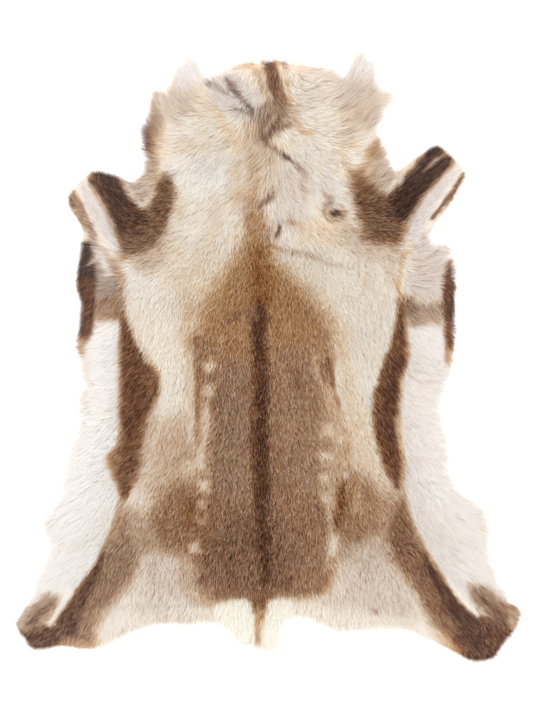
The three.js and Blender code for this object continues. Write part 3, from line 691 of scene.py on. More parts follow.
# %% The forelegs
MARKINGS += [
    ("grey of the left shoulder", 0.42, 0.4, 0.7, 18, [(-290, 230), (-230, 230), (-196, 250), (-206, 200),
        (-240, 160), (-280, 190)]),
    ("left shoulder patch", 0.76, 0.52, 1, 10, [(-214, 362), (-200, 356), (-190, 338), (-187, 306),
        (-200, 268), (-214, 240), (-232, 212), (-268, 204), (-292, 202), (-298, 236), (-276, 274),
        (-256, 288), (-238, 300), (-226, 330)]),
    ("left foreleg", 0.88, 0.45, 1, 7, [(-362, 350), (-346, 372), (-316, 376), (-302, 352), (-284, 322),
        (-260, 298), (-240, 272), (-252, 244), (-276, 232), (-298, 228), (-312, 266), (-330, 300),
        (-346, 328)]),
    ("pale lines across the left elbow", 0.6, 0.45, 0.5, 7, [(-290, 236, 5), (-256, 256, 5),
        (-222, 240, 4)]),
    ("left foreleg's dark end", 0.99, 0.4, 0.9, 16, [(-332, 376, 22), (-314, 344, 22), (-294, 306, 16)]),
    ("grey-brown below the left elbow", 0.62, 0.45, 0.42, 14, [(-292, 240), (-256, 236), (-236, 218),
        (-262, 200), (-292, 200)]),
    ("pink notch by the left foreleg", 0.46, 0.2, 0.85, 9, [(-300, 362), (-276, 326), (-256, 304),
        (-244, 312), (-230, 350), (-240, 400), (-290, 400)]),
    ("left foreleg's tan border", 0.5, 0.5, 0.7, 6, [(-360, 346, 4), (-338, 308, 5), (-318, 270, 5),
        (-302, 228, 5)]),
    ("left foreleg's white", 0.24, 0, 1, 5, [(-378, 354, 9), (-361, 316, 11), (-336, 270, 12),
        (-314, 230, 10), (-306, 206, 4)]),
    ("left foreleg's grey edge", 0.6, 0.35, 0.9, 5, [(-398, 330, 9), (-381, 294, 10), (-360, 258, 9),
        (-346, 232, 5)]),
    ("left foreleg's darkest corner", 0.76, 0.4, 0.8, 4, [(-402, 322, 5), (-388, 296, 4)]),
    ("grey of the right shoulder", 0.46, 0.35, 0.5, 18, [(150, 280), (180, 250), (270, 240), (268, 190),
        (220, 186), (160, 210), (140, 250)]),
    ("right shoulder patch", 0.73, 0.62, 1, 15, [(160, 366), (186, 362), (212, 342), (238, 318), (268, 284),
        (272, 246), (262, 222), (232, 218), (192, 230), (184, 264), (170, 320)]),
    ("right foreleg", 0.97, 0.38, 1, 10, [(326, 428), (348, 420), (372, 386), (346, 352), (315, 320),
        (296, 294), (272, 266), (240, 282), (238, 312), (262, 340), (284, 366), (308, 398)]),
    ("purple-brown of the right elbow", 0.77, 0.5, 0.8, 16, [(200, 320), (236, 322), (268, 290), (262, 240),
        (224, 240), (200, 270)]),
    ("dark side of the right shoulder", 0.82, 0.6, 0.4, 12, [(182, 325, 9), (178, 290, 9)]),
    ("right foreleg's dark heart", 1, 0.4, 0.8, 20, [(338, 398, 12), (306, 352, 16), (276, 314, 18),
        (256, 276, 14)]),
    ("pink notch by the right foreleg", 0.46, 0.3, 0.8, 12, [(206, 384), (214, 340), (232, 322), (248, 346),
        (264, 384), (240, 420)]),
    ("light hairs in the right foreleg", 0.35, 0.25, 0.75, 4, [(358, 404, 3), (338, 392, 5),
        (314, 370, 3)]),
    ("right foreleg's tan border", 0.45, 0.65, 0.7, 5, [(374, 382, 3), (345, 352, 4), (314, 316, 5),
        (294, 280, 5), (272, 236, 4)]),
    ("right foreleg's white", 0.22, 0.1, 1, 5, [(384, 376, 8), (360, 350, 11), (330, 312, 13),
        (305, 272, 14), (292, 228, 12)]),
    ("right foreleg's thin edge", 0.8, 0.45, 0.9, 3, [(396, 362, 7), (376, 334, 5), (352, 302, 4),
        (330, 272, 3)]),
]
print("markings so far:", len(MARKINGS))

# %% The feet
MARKINGS += [
    ("left foot", 0.86, 0.5, 1, 5, [(-500, -540), (-470, -536), (-440, -546), (-416, -560), (-420, -600),
        (-480, -610), (-500, -580)]),
    ("left foot's grey hair", 0.6, 0.42, 0.9, 12, [(-420, -486), (-440, -478), (-470, -500), (-510, -530),
        (-490, -556), (-450, -544), (-424, -508)]),
    ("left foot's dark hairs", 0.84, 0.4, 0.75, 6, [(-436, -500, 3), (-462, -522, 7), (-490, -542, 8)]),
    ("pale end of the left foot", 0.42, 0.25, 0.9, 10, [(-486, -512, 13), (-500, -548, 12)]),
    ("tan fringe of the left heel", 0.3, 0.8, 0.7, 8, [(-420, -584, 5), (-380, -588, 7), (-340, -586, 6)]),
    ("left cleft", 0.08, 0.5, 0.8, 4, [(-398, -470, 9), (-414, -504, 6), (-430, -528, 4), (-442, -542, 2)]),
    ("right foot", 0.88, 0.65, 1, 5, [(400, -534), (440, -524), (480, -530), (510, -520), (500, -560),
        (460, -610), (400, -610), (370, -580)]),
    ("right foot's dark heel", 1, 0.5, 0.6, 14, [(366, -506, 10), (398, -548, 14), (420, -584, 12)]),
    ("right foot's grey hair", 0.68, 0.45, 0.9, 12, [(404, -460), (440, -468), (470, -490), (510, -510),
        (500, -540), (456, -536), (430, -520), (410, -490)]),
    ("right foot's dark hairs", 0.86, 0.4, 0.7, 6, [(412, -470, 3), (446, -504, 7), (480, -530, 8)]),
    ("pale end of the right foot", 0.38, 0.35, 0.7, 10, [(502, -516, 12), (494, -552, 12)]),
    ("tan fringe of the right heel", 0.3, 0.8, 0.6, 8, [(330, -556, 6), (356, -572, 7), (388, -600, 7)]),
    ("right cleft", 0.12, 0.5, 0.95, 4, [(360, -452, 5), (388, -488, 6), (406, -508, 4), (422, -524, 2)]),
]
print("markings so far:", len(MARKINGS))

# %% The shapes of bands and patches
CURVE_STEP = 0.2


def band_depth(x, y, line):
    """How far each place lies inside a flat-ended band through discs, in mm."""
    nearest = np.full(x.shape, np.inf)
    depth = np.full(x.shape, -np.inf)
    last = len(line) - 2
    for i, ((ax, ay, ar), (bx, by, br)) in enumerate(zip(line, line[1:])):
        length = math.hypot(bx - ax, by - ay)
        ux, uy = (bx - ax) / length, (by - ay) / length
        along = (x / MM - ax) * ux + (y / MM - ay) * uy
        across = np.abs((y / MM - ay) * ux - (x / MM - ax) * uy)
        share = np.clip(along / length, 0, 1)
        past = np.maximum(-along, along - length)
        gap = np.hypot(across, np.maximum(past, 0))
        side = ar + (br - ar) * share - across
        ends = np.full(x.shape, np.inf)
        if i == 0:
            ends = np.minimum(ends, along)
        if i == last:
            ends = np.minimum(ends, length - along)
        inner = ar + (br - ar) * share - gap
        inside = np.where(ends < 0, np.minimum(side, ends), inner)
        depth = np.where(gap < nearest, inside, depth)
        nearest = np.minimum(nearest, gap)
    return depth


def rounded(loop):
    """A loop of places in mm as a smooth closed curve through them, in metres."""
    p = np.array(loop, float) * MM
    before, after, beyond = np.roll(p, 1, 0), np.roll(p, -1, 0), np.roll(p, -2, 0)
    curve = [
        0.5 * (2 * p + (after - before) * t + (2 * before - 5 * p + 4 * after - beyond) * t**2
               + (3 * p - before - 3 * after + beyond) * t**3)
        for t in np.arange(0, 1, CURVE_STEP)
    ]
    return np.stack(curve, 1).reshape(-1, 2)


middle_depth = band_depth(np.zeros(1), np.zeros(1), [(-30, 0, 10), (30, 0, 10)])
print("the middle of a band 20 mm wide lies inside it by mm:", float(middle_depth[0]))

# %% The ground's colour
GROUND_PIGMENT, GROUND_WARMTH = 0.165, 0.55
NECK = (130 * MM, 260 * MM)


def ground_colour(x, y):
    """Pigment and warmth of the cream ground, cloudy all over, with golden and dusty places on the neck."""
    pigment = np.full(x.shape, GROUND_PIGMENT) + 0.03 * drift(x, y, 60 * MM, 3)
    warmth = np.full(x.shape, GROUND_WARMTH) + 0.15 * drift(x, y, 80 * MM, 4)
    neck = smooth_step(*NECK, y)
    golden = neck * smooth_step(0.1, 0.7, drift(x, y, 48 * MM, 21))
    dust = 0.6 * drift(x, y, 15 * MM, 22) + 0.5 * drift(x, y, 34 * MM, 23)
    dusty = neck * smooth_step(0.15, 0.6, dust)
    pigment += 0.03 * golden + 0.05 * dusty
    warmth += 0.15 * golden - 0.25 * dusty
    return pigment, warmth


# %% The markings laid over it
RIM_COLOUR = 5 * MM
MARK_SPARE = 12
FULLY_RAGGED = 8


def mark_depth(x, y, places):
    """How far each place lies inside a band or a patch, in mm."""
    if len(places[0]) == 3:
        return band_depth(x, y, places)
    return distance_inside(x, y, rounded(places)) / MM


def coat_colour(x, y, toss):
    """Pigment and warmth of the hair that shows at each place. toss, from -1 to 1, is each hair's own
    luck: above 0 it takes more of the marking where two colours mix, below 0 less. Hair past the hide's
    edge has the colour that is a little way inside."""
    beyond = np.clip(RIM_COLOUR - look_up(inside_map, x, y), 0, None)
    x, y = x + look_up(slope_x, x, y) * beyond, y + look_up(slope_y, x, y) * beyond
    pigment, warmth = ground_colour(x, y)
    ragged = 3.0 * drift(x, y, 14 * MM, 5) + 2.0 * drift(x, y, 6 * MM, 6)
    for _, mark_pigment, mark_warmth, cover, soft, places in MARKINGS:
        corners = np.array(places)
        spare = corners[:, 2:].max(initial=0) + soft + MARK_SPARE
        low_x, low_y = (corners[:, :2].min(0) - spare) * MM
        high_x, high_y = (corners[:, :2].max(0) + spare) * MM
        near = np.flatnonzero((x > low_x) & (x < high_x) & (y > low_y) & (y < high_y))
        depth = mark_depth(x[near], y[near], places) + ragged[near] * min(1, soft / FULLY_RAGGED)
        share = smooth_step(-soft, soft, depth)
        share = cover * np.clip(share + toss[near] * 2 * share * (1 - share), 0, 1)
        pigment[near] += (mark_pigment - pigment[near]) * share
        warmth[near] += (mark_warmth - warmth[near]) * share
    return pigment, warmth


middle = [round(float(c[0]), 2) for c in coat_colour(np.zeros(1), np.zeros(1), np.zeros(1))]
print("pigment and warmth at the middle of the back:", middle)

# %% [markdown]
# ## Materials
# **Reindeer hair** is hollow keratin, smooth and a little glossy, so light spreads inside it and pale
# hair looks milky. Pigment and warmth travel in the hair's own UV map: u is the pigment and v the
# warmth, and the material turns the pair into a colour through a grey ramp and a rust ramp. One material
# for every hair is easier to match than one for each colour of hair.

# %% Hair and undercoat
HAIR_MAP = "OFBake"
GREY_HAIR = [(0.0, "#F1F0F0"), (0.15, "#ECEAEA"), (0.3, "#D9CFC9"), (0.45, "#BAA99E"), (0.6, "#938176"),
             (0.8, "#645248"), (1.0, "#1E1613")]
RUST_HAIR = [(0.0, "#F4F0E4"), (0.15, "#F0E8D8"), (0.3, "#E5CDA6"), (0.45, "#D3A76C"), (0.6, "#BE8B52"),
             (0.8, "#8E4B23"), (1.0, "#30150A")]
GLOSS_SPREAD = 0.1
MIX_GREY, MIX_RUST, MIX_OUT = 6, 7, 2


def hair_material(name, roughness):
    """Keratin coloured by pigment and warmth, glossier where it is dark."""
    material, tree, shader = new_material(name)
    place = node(tree, "UVMap", {"uv_map": HAIR_MAP})
    parts = node(tree, "SeparateXYZ", Vector=place.outputs["UV"])
    pigment, warmth = parts.outputs["X"], parts.outputs["Y"]
    grey = node(tree, "ValToRGB", {"stops": GREY_HAIR}, Fac=pigment)
    rust = node(tree, "ValToRGB", {"stops": RUST_HAIR}, Fac=pigment)
    colour = node(tree, "Mix", {"data_type": "RGBA"}, Factor=warmth)
    tree.links.new(grey.outputs["Color"], colour.inputs[MIX_GREY])
    tree.links.new(rust.outputs["Color"], colour.inputs[MIX_RUST])
    dull, glossy = roughness + GLOSS_SPREAD, roughness - GLOSS_SPREAD
    gloss = node(tree, "MapRange", {"To Min": dull, "To Max": glossy}, Value=pigment)
    tree.links.new(colour.outputs[MIX_OUT], shader.inputs["Base Color"])
    tree.links.new(gloss.outputs["Result"], shader.inputs["Roughness"])
    shader.inputs["IOR"].default_value = 1.55
    shader.inputs["Specular IOR Level"].default_value = 0.35
    return material


guard_hair = hair_material("reindeer guard hair", 0.55)
underwool = hair_material("reindeer undercoat", 0.85)
print("hair materials:", guard_hair.name, "and", underwool.name)

# %% [markdown]
# **Tanned leather** on the flesh side is buffed to suede: a short matt nap of skin fibres, cream to
# buff, with darker clouds where the skin is thin. The real nap is finer than shows from a step away, so
# it is drawn coarser, as bump, because fibres that small need no shape of their own.

# %% Suede
CLOUD = 111 * MM
NAP = 2.38 * MM
SUEDE = [(0.3, "#CDBB9C"), (0.5, "#E0D3BC"), (0.7, "#EBE2D0")]

suede, tree, shader = new_material("buffed suede")
place = node(tree, "TexCoord").outputs["Object"]
clouds = node(tree, "TexNoise", {"Scale": 1 / CLOUD, "Detail": 5.0, "Roughness": 0.6}, Vector=place)
nap = node(tree, "TexNoise", {"Scale": 1 / NAP, "Detail": 3.0}, Vector=place)
tone = node(tree, "ValToRGB", {"stops": SUEDE}, Fac=clouds.outputs["Fac"])
bump = node(tree, "Bump", {"Strength": 0.35, "Distance": 0.4 * MM}, Height=nap.outputs["Fac"])
tree.links.new(tone.outputs["Color"], shader.inputs["Base Color"])
tree.links.new(bump.outputs["Normal"], shader.inputs["Normal"])
shader.inputs["Roughness"].default_value = 0.95
shader.inputs["Sheen Weight"].default_value = 0.15
print("suede's clouds in mm:", round(CLOUD / MM), "and its nap:", round(NAP / MM, 1))

# %% [markdown]
# ## The leather
# The skin ends inside the hair that hangs over it, by more where the hair is long. A curve filled and
# thickened could make it, but its edge would have to be worked out point by point. Instead a level grid
# is laid over the hide and its corners are raised by how far they lie inside that line, so a level cut
# at height 0 trims the grid along it, the way a shoreline runs round an island. Then it is laid flat,
# made one face and given its thickness.

# %% Pieces in the scene
def in_scene(name, data):
    """A new object that holds this mesh, lamp or camera."""
    thing = bpy.data.objects.new(name, data)
    bpy.context.scene.collection.objects.link(thing)
    return thing


def new_piece(name, bm, material):
    """A bmesh as a finished piece of the hide."""
    mesh = bpy.data.meshes.new(name)
    bm.to_mesh(mesh)
    bm.free()
    mesh.materials.append(material)
    return in_scene(name, mesh)


def level_places(verts):
    """Where these points lie, seen from above."""
    return np.array([v.co.xy for v in verts])


def of_kind(geometry, kind):
    """The points or the edges among what an operator made."""
    return [g for g in geometry if isinstance(g, kind)]


def face_outwards(bm):
    """Turns the faces outwards and cuts those with many corners into triangles."""
    bmesh.ops.recalc_face_normals(bm, faces=bm.faces)
    bmesh.ops.triangulate(bm, faces=[f for f in bm.faces if len(f.verts) > 4])


# %% Trimmed grids
GRID_EDGE = 0.01 * MM
GRID_MERGE = 0.5 * MM
high = np.array([map_x.max(), map_y.max()])
centre, span = (low + high) / 2, high - low


def islands(bm):
    """The bmesh's faces as groups that hang together, the largest first."""
    left, groups = set(bm.faces), []
    while left:
        group, queue = [], [left.pop()]
        while queue:
            face = queue.pop()
            group.append(face)
            near = {f for edge in face.edges for f in edge.link_faces} & left
            left -= near
            queue.extend(near)
        groups.append(group)
    return sorted(groups, key=len, reverse=True)


def trimmed_grid(step, depth_of):
    """A level grid of squares, trimmed to where depth_of its corners is above 0."""
    cells = np.round(span / step).astype(int)
    bm = bmesh.new()
    bmesh.ops.create_grid(bm, x_segments=int(cells[0]), y_segments=int(cells[1]), size=0.5)
    bmesh.ops.scale(bm, verts=bm.verts, vec=(span[0], span[1], 1))
    bmesh.ops.translate(bm, verts=bm.verts, vec=(centre[0], centre[1], 0))
    at = level_places(bm.verts)
    for vert, depth in zip(bm.verts, depth_of(at[:, 0], at[:, 1])):
        vert.co.z = depth
    bmesh.ops.bisect_plane(
        bm, geom=[*bm.verts, *bm.edges, *bm.faces], dist=GRID_EDGE, plane_co=(0, 0, 0),
        plane_no=(0, 0, 1), clear_inner=True,
    )
    spare = [face for group in islands(bm)[1:] for face in group]
    bmesh.ops.delete(bm, geom=spare, context="FACES")
    bmesh.ops.scale(bm, verts=bm.verts, vec=(1, 1, 0))
    bmesh.ops.remove_doubles(bm, verts=bm.verts, dist=GRID_MERGE)
    return bm


print("grids span in mm:", [round(s / MM) for s in span])

# %% The leather sheet
LEATHER = 2 * MM
SKIN_STEP = 8 * MM
SKIN_UNEVEN = 2 * MM


def skin_depth(x, y):
    """How far each place lies inside the leather's own edge."""
    inset = coat_at(x, y)[1]["inset"] * MM + SKIN_UNEVEN * drift(x, y, 40 * MM, 8)
    return look_up(inside_map, x, y) - inset


bm = trimmed_grid(SKIN_STEP, skin_depth)
skin_face = bmesh.ops.dissolve_faces(bm, faces=bm.faces[:])["region"][0]
skin_loop = level_places(skin_face.verts)
raised = bmesh.ops.extrude_face_region(bm, geom=[skin_face], use_keep_orig=True)["geom"]
bmesh.ops.translate(bm, verts=of_kind(raised, bmesh.types.BMVert), vec=(0, 0, LEATHER))
face_outwards(bm)
leather = new_piece("leather", bm, suede)
print("leather's faces:", len(leather.data.polygons), "points round it:", len(skin_loop))

# %% [markdown]
# ## The undercoat
# Under the guard hair a reindeer has wool so dense that the skin never shows. Single wool hairs would
# take millions of faces and never be seen, so it is one soft body: a grid trimmed like the leather's,
# raised to a share of the pile height with the dents that locks of hair leave in it. Its edge is drawn
# down to the leather and closed underneath.

# %% The undercoat's height
WOOL_STEP = 6 * MM
WOOL_INSET = 2 * MM
WOOL_SHARE = 0.5
WOOL_LEAST = 1 * MM
WOOL_GAP = 0.2 * MM
skin_map = distance_inside(map_x, map_y, skin_loop)


def wool_height(x, y):
    """The top of the undercoat: a share of the pile, down to the leather at its edge."""
    pile = look_up(height_map, x, y)
    rise = smooth_step(-4 * MM, 14 * MM, look_up(skin_map, x, y))
    dents = 1 + 0.12 * drift(x, y, 12 * MM, 11) + 0.1 * drift(x, y, 28 * MM, 12)
    return LEATHER + 2 * WOOL_GAP + (WOOL_SHARE * pile - LEATHER).clip(WOOL_LEAST) * rise * dents


bm = trimmed_grid(WOOL_STEP, lambda x, y: look_up(skin_map, x, y) - WOOL_INSET)
at = level_places(bm.verts)
for vert, z in zip(bm.verts, wool_height(at[:, 0], at[:, 1])):
    vert.co.z = z
print("wool up to mm:", round(max(v.co.z for v in bm.verts) / MM, 1))

# %% The undercoat, closed and coloured
ROOTS_DARKER = 0.1
hem = bmesh.ops.extrude_edge_only(bm, edges=[e for e in bm.edges if e.is_boundary])["geom"]
for vert in of_kind(hem, bmesh.types.BMVert):
    vert.co.z = LEATHER + WOOL_GAP
bmesh.ops.edgeloop_fill(bm, edges=of_kind(hem, bmesh.types.BMEdge))
face_outwards(bm)
open_edges = sum(not e.is_manifold for e in bm.edges)
wool = new_piece("undercoat", bm, underwool)
wool.data.shade_smooth()


def add_hair_map(mesh, uv, corners):
    """Gives each of the mesh's corners the pigment and warmth of its point."""
    layer = mesh.uv_layers.new(name=HAIR_MAP)
    layer.uv.foreach_set("vector", uv[corners].astype(np.float32).ravel())


places = level_places(wool.data.vertices)
pigment, warmth = coat_colour(places[:, 0], places[:, 1], np.zeros(len(places)))
uv = np.stack([np.clip(pigment + ROOTS_DARKER, 0.01, 0.99), np.clip(warmth, 0.01, 0.99)], 1)
corner_of = np.empty(len(wool.data.loops), int)
wool.data.loops.foreach_get("vertex_index", corner_of)
add_hair_map(wool.data, uv, corner_of)
print("undercoat's faces:", len(wool.data.polygons), "open edges:", open_edges)

# %% [markdown]
# ## The guard hair
# Each guard hair is a narrow blade of two or three flat lengths that taper to a point. Blender's hair
# curves would be quicker to comb, but they aren't a mesh, and a modelled part has to be one. A quarter
# of a million blades can't be made with an operator each, so each piece of fur is one mesh built from
# arrays: where the roots are, which way each hair runs, how high its tip stands, and how the hairs of a
# lock draw together.

# %% Roots
ROOT_STEP = 1.7 * MM
CLOSEST = 1.06


def scatter(step, seed):
    """Roots at uneven spacing over the hide's box: a grid, each point moved at random in its cell."""
    rng = np.random.default_rng(seed)
    xs = np.arange(cad_box[0][0], cad_box[1][0], step)
    ys = np.arange(cad_box[0][1], cad_box[1][1], step)
    x, y = np.meshgrid(xs, ys)
    return (x + rng.uniform(0, step, x.shape)).ravel(), (y + rng.uniform(0, step, y.shape)).ravel()


rng = np.random.default_rng(20)
root_x, root_y = scatter(ROOT_STEP, 21)
keep = look_up(skin_map, root_x, root_y) > 0
root_x, root_y = root_x[keep], root_y[keep]
angle, size, piece_of = coat_at(root_x, root_y)
keep = rng.uniform(0, CLOSEST, root_x.shape) < size["close"]
root_x, root_y, angle, piece_of = root_x[keep], root_y[keep], angle[keep], piece_of[keep]
size = {name: value[keep] for name, value in size.items()}
count = len(root_x)
print("guard hairs:", count)

# %% [markdown]
# **Locks** are hairs that cling together, big ones on the ruff and the belly and small ones on the back.
# A hair system clumps its children round parents. Here every hair finds the nearest of some points
# strewn over the hide, which gives locks of any size without parents to keep.

# %% Locks
LOCK_TABLE = 64
LOCK_SIZES = (5, 8, 13, 18)
STRAND = 3 * MM


def nearest_lock(x, y, size, seed):
    """The middle of each hair's lock, and a number from 0 to 1 that its hairs share."""
    table = np.random.default_rng(seed).uniform(0, 1, (3, LOCK_TABLE, LOCK_TABLE))
    col, row = np.floor(x / size).astype(int), np.floor(y / size).astype(int)
    best = np.full(x.shape, np.inf)
    middle_x, middle_y, number = np.zeros(x.shape), np.zeros(x.shape), np.zeros(x.shape)
    for c, r in ((col + dc, row + dr) for dc in (-1, 0, 1) for dr in (-1, 0, 1)):
        across, along, shared = table[:, r % LOCK_TABLE, c % LOCK_TABLE]
        px, py = (c + across) * size, (r + along) * size
        gap = (px - x) ** 2 + (py - y) ** 2
        closer = gap < best
        best = np.where(closer, gap, best)
        middle_x, middle_y = np.where(closer, px, middle_x), np.where(closer, py, middle_y)
        number = np.where(closer, shared, number)
    return middle_x, middle_y, number


nearest_size = np.abs(size["lock"][:, None] - np.array(LOCK_SIZES)[None]).argmin(1)
lock_x, lock_y, lock_number = (np.zeros(count) for _ in range(3))
for index, lock_size in enumerate(LOCK_SIZES):
    middle_x, middle_y, number = nearest_lock(root_x, root_y, lock_size * MM, 30 + lock_size)
    mine = nearest_size == index
    lock_x, lock_y = np.where(mine, middle_x, lock_x), np.where(mine, middle_y, lock_y)
    lock_number = np.where(mine, number, lock_number)
strand = nearest_lock(root_x, root_y, STRAND, 29)[2]
print("hairs in locks of each size:", dict(zip(LOCK_SIZES, np.bincount(nearest_size).tolist())))

# %% Directions and lengths
# Slow and quick turns of the coat's lie: (degrees, how far across in mm, seed)
TURNS = ((14, 70, 41), (10, 22, 42))
LOCK_TURN, OWN_TURN = 1.6, 0.8
SHORTEST, LONGEST, LOCK_LENGTH = 0.7, 1.15, 0.25
for degrees, across, seed in TURNS:
    angle = angle + np.radians(degrees) * drift(root_x, root_y, across * MM, seed)
turn = LOCK_TURN * (lock_number - 0.5) + rng.normal(0, OWN_TURN, count)
angle = angle + np.radians(size["stray"]) * turn
reach = size["reach"] * MM * rng.uniform(SHORTEST, LONGEST, count)
reach = reach * (1 + LOCK_LENGTH * (lock_number - 0.5))
print("mean length in mm:", round(float(reach.mean()) / MM, 1))

# %% [markdown]
# **At the hide's edge** the hair turns outwards and hangs over the skin. It could be trimmed with the
# outline as a cutter, but a straight cut looks shorn, so a hair that would reach past the outline is made
# shorter instead, by its own share, and ends a little inside or outside.

# %% Hair at the hide's edge
EDGE_TURNS = (4 * MM, 30 * MM)
root_depth = look_up(inside_map, root_x, root_y)
turned = size["splay"] * (1 - smooth_step(*EDGE_TURNS, root_depth))
out_x, out_y = -look_up(slope_x, root_x, root_y), -look_up(slope_y, root_x, root_y)
out_size = np.hypot(out_x, out_y) + 1e-6
east = np.cos(angle) * (1 - turned) + turned * out_x / out_size
north = np.sin(angle) * (1 - turned) + turned * out_y / out_size
angle = np.arctan2(north, east)
east, north = np.cos(angle), np.sin(angle)

EDGE_REACH = 4 * MM
LEAST_SHARE = 0.15
slack = EDGE_REACH + size["ragged"] * MM * (0.5 - 1.5 * rng.uniform(0, 1, count) ** 1.3)
for _ in range(3):
    tip_depth = look_up(inside_map, root_x + east * reach, root_y + north * reach)
    over = tip_depth < -slack
    factor = np.clip((root_depth + slack) / np.maximum(root_depth - tip_depth, 1e-4), LEAST_SHARE, 1)
    reach = np.where(over, reach * factor, reach)
print("hairs cut short at the edge in the last pass:", int(over.sum()))

# %% [markdown]
# **Tufts** are long hairs of the ruff, and a few wisps elsewhere, that stand out past the rest and draw
# together to a tip. Longer hair all along the edge would give a fringe and no tufts, so each tuft is a
# row of a table that says where it is rooted and where it ends.

# %% Tufts
# (piece, root x, root y, tip x, tip y, width at the root, hairs), in mm
TUFTS = [
    ("neck", -152, 520, -162, 622, 46, 300),
    ("neck", -142, 536, -150, 604, 32, 180),
    ("neck", -176, 512, -182, 600, 38, 220),
    ("neck", -214, 500, -232, 540, 40, 120),
    ("neck", 170, 524, 194, 632, 44, 340),
    ("neck", 190, 532, 212, 602, 32, 200),
    ("neck", 188, 508, 264, 526, 36, 220),
    ("neck", 190, 498, 252, 516, 34, 160),
    ("neck", 186, 466, 240, 492, 38, 180),
    ("legs", 436, -492, 490, -466, 26, 90),
    ("belly", 340, 214, 378, 204, 30, 120),
]
TUFT_WIDTH = 0.8
TUFT_LEAST = 12
# Shares of a tuft's width: how its roots spread, and how much of that is left at the tips
ROOT_SPREAD, ROOT_LIMIT, TIP_SPREAD = 0.24, 0.5, (0.1, 0.5)
# Shares of its length: where roots and tips lie, and how much shorter its sides are
ROOTS_ALONG, TIPS_ALONG, SIDES_SHORTER = (-0.1, 0.35), (0.62, 1.04), 0.3
tuft_rng = np.random.default_rng(60)
for part, tx, ty, tip_x, tip_y, wide, hairs in TUFTS:
    way = np.array([tip_x - tx, tip_y - ty])
    long = np.hypot(*way)
    way = way / long
    across = np.clip(tuft_rng.normal(0, ROOT_SPREAD, hairs), -ROOT_LIMIT, ROOT_LIMIT) * wide
    back = tuft_rng.uniform(*ROOTS_ALONG, hairs) * long
    x = tx + way[0] * back - way[1] * across
    y = ty + way[1] * back + way[0] * across
    goal = across * tuft_rng.uniform(*TIP_SPREAD, hairs)
    end = long * tuft_rng.uniform(*TIPS_ALONG, hairs) * (1 - SIDES_SHORTER * np.abs(across) / wide)
    dx = tx + way[0] * end - way[1] * goal - x
    dy = ty + way[1] * end + way[0] * goal - y
    root_x, root_y = np.append(root_x, x * MM), np.append(root_y, y * MM)
    lock_x, lock_y = np.append(lock_x, x * MM), np.append(lock_y, y * MM)
    lock_number = np.append(lock_number, tuft_rng.uniform(0.2, 0.8, hairs))
    strand = np.append(strand, tuft_rng.uniform(0.3, 0.7, hairs))
    reach = np.append(reach, np.maximum(np.hypot(dx, dy), TUFT_LEAST) * MM)
    angle = np.append(angle, np.arctan2(dy, dx))
    piece_of = np.append(piece_of, np.full(hairs, PIECES.index(part)))
    for name, value in (("width", TUFT_WIDTH), ("pull", 0.0)):
        size[name] = np.append(size[name], np.full(hairs, value))
east, north = np.cos(angle), np.sin(angle)
print("hairs with the tufts:", len(root_x))

# %% [markdown]
# **A blade** starts in the wool, rises to the pile's height and lies down towards its tip, with a bend
# and a roll of its own. A tube would be rounder but has three times the faces, and a hair this thin
# shows no side, so a flat strip that tapers is enough.

# %% The blades
SHORT_HAIR, LONG_HAIR = 12, 32
LEAST_PILE = 3.5 * MM
LEAST_TIP = 2.5 * MM
ROOT_DEPTH = 1.5 * MM
TIP_CHANCE = 1.0 * MM
THIN_EDGE = (2 * MM, 26 * MM)
WIDTHS, EDGE_WIDTH = (0.75, 1.25), 0.6
OWN_CURL, LOCK_CURL = 0.10, 0.25
TOP_SHARE, LOCK_TOP = 0.95, 0.35
SHORT_ROLL, LONG_LESS = 0.75, 0.6
# Powers: how late a lock draws together, how early a hair rises and how late it tapers
PULL_POWER, RISE_POWER, TAPER_POWER = 1.5, 1.7, 0.6


def long_share(which):
    """How far these hairs are from short, 0, to long, 1."""
    return np.clip((reach[which] / MM - SHORT_HAIR) / (LONG_HAIR - SHORT_HAIR), 0, 1)


def blade_points(which, lengths, rng):
    """The points of these hairs' blades: two at each level and one at the tip."""
    x, y, turn, run = root_x[which], root_y[which], angle[which], reach[which]
    n = len(x)
    width = size["width"][which] * MM * rng.uniform(*WIDTHS, n)
    width *= EDGE_WIDTH + (1 - EDGE_WIDTH) * smooth_step(*THIN_EDGE, look_up(inside_map, x, y))
    curl = rng.normal(0, OWN_CURL, n) + LOCK_CURL * (lock_number[which] - 0.5)
    pull = size["pull"][which]
    off_x, off_y = x - lock_x[which], y - lock_y[which]
    start = np.maximum(wool_height(x, y) - ROOT_DEPTH, LEATHER)
    pile = np.maximum(look_up(height_map, x + np.cos(turn) * run, y + np.sin(turn) * run), LEAST_PILE)
    uneven = LOCK_TOP * pull * (lock_number[which] - 0.5)
    top = np.maximum(pile * (TOP_SHARE + uneven) + rng.normal(0, TIP_CHANCE, n), LEAST_TIP)
    roll = rng.uniform(-1, 1, n) * (SHORT_ROLL - LONG_LESS * long_share(which))
    side = np.stack([-np.sin(turn) * np.cos(roll), np.cos(turn) * np.cos(roll), np.sin(roll)], 1)
    levels = []
    for t in np.linspace(0, 1, lengths + 1):
        bend = curl * run * t**2
        drawn = pull * t**PULL_POWER
        px = x + np.cos(turn) * run * t - np.sin(turn) * bend - off_x * drawn
        py = y + np.sin(turn) * run * t + np.cos(turn) * bend - off_y * drawn
        pz = start + (top - start) * (1 - (1 - t) ** RISE_POWER)
        middle = np.stack([px, py, pz], 1)
        half = side * (width / 2 * (1 - t) ** TAPER_POWER)[:, None]
        levels += [middle - half, middle + half] if t < 1 else [middle]
    return np.stack(levels, 1)


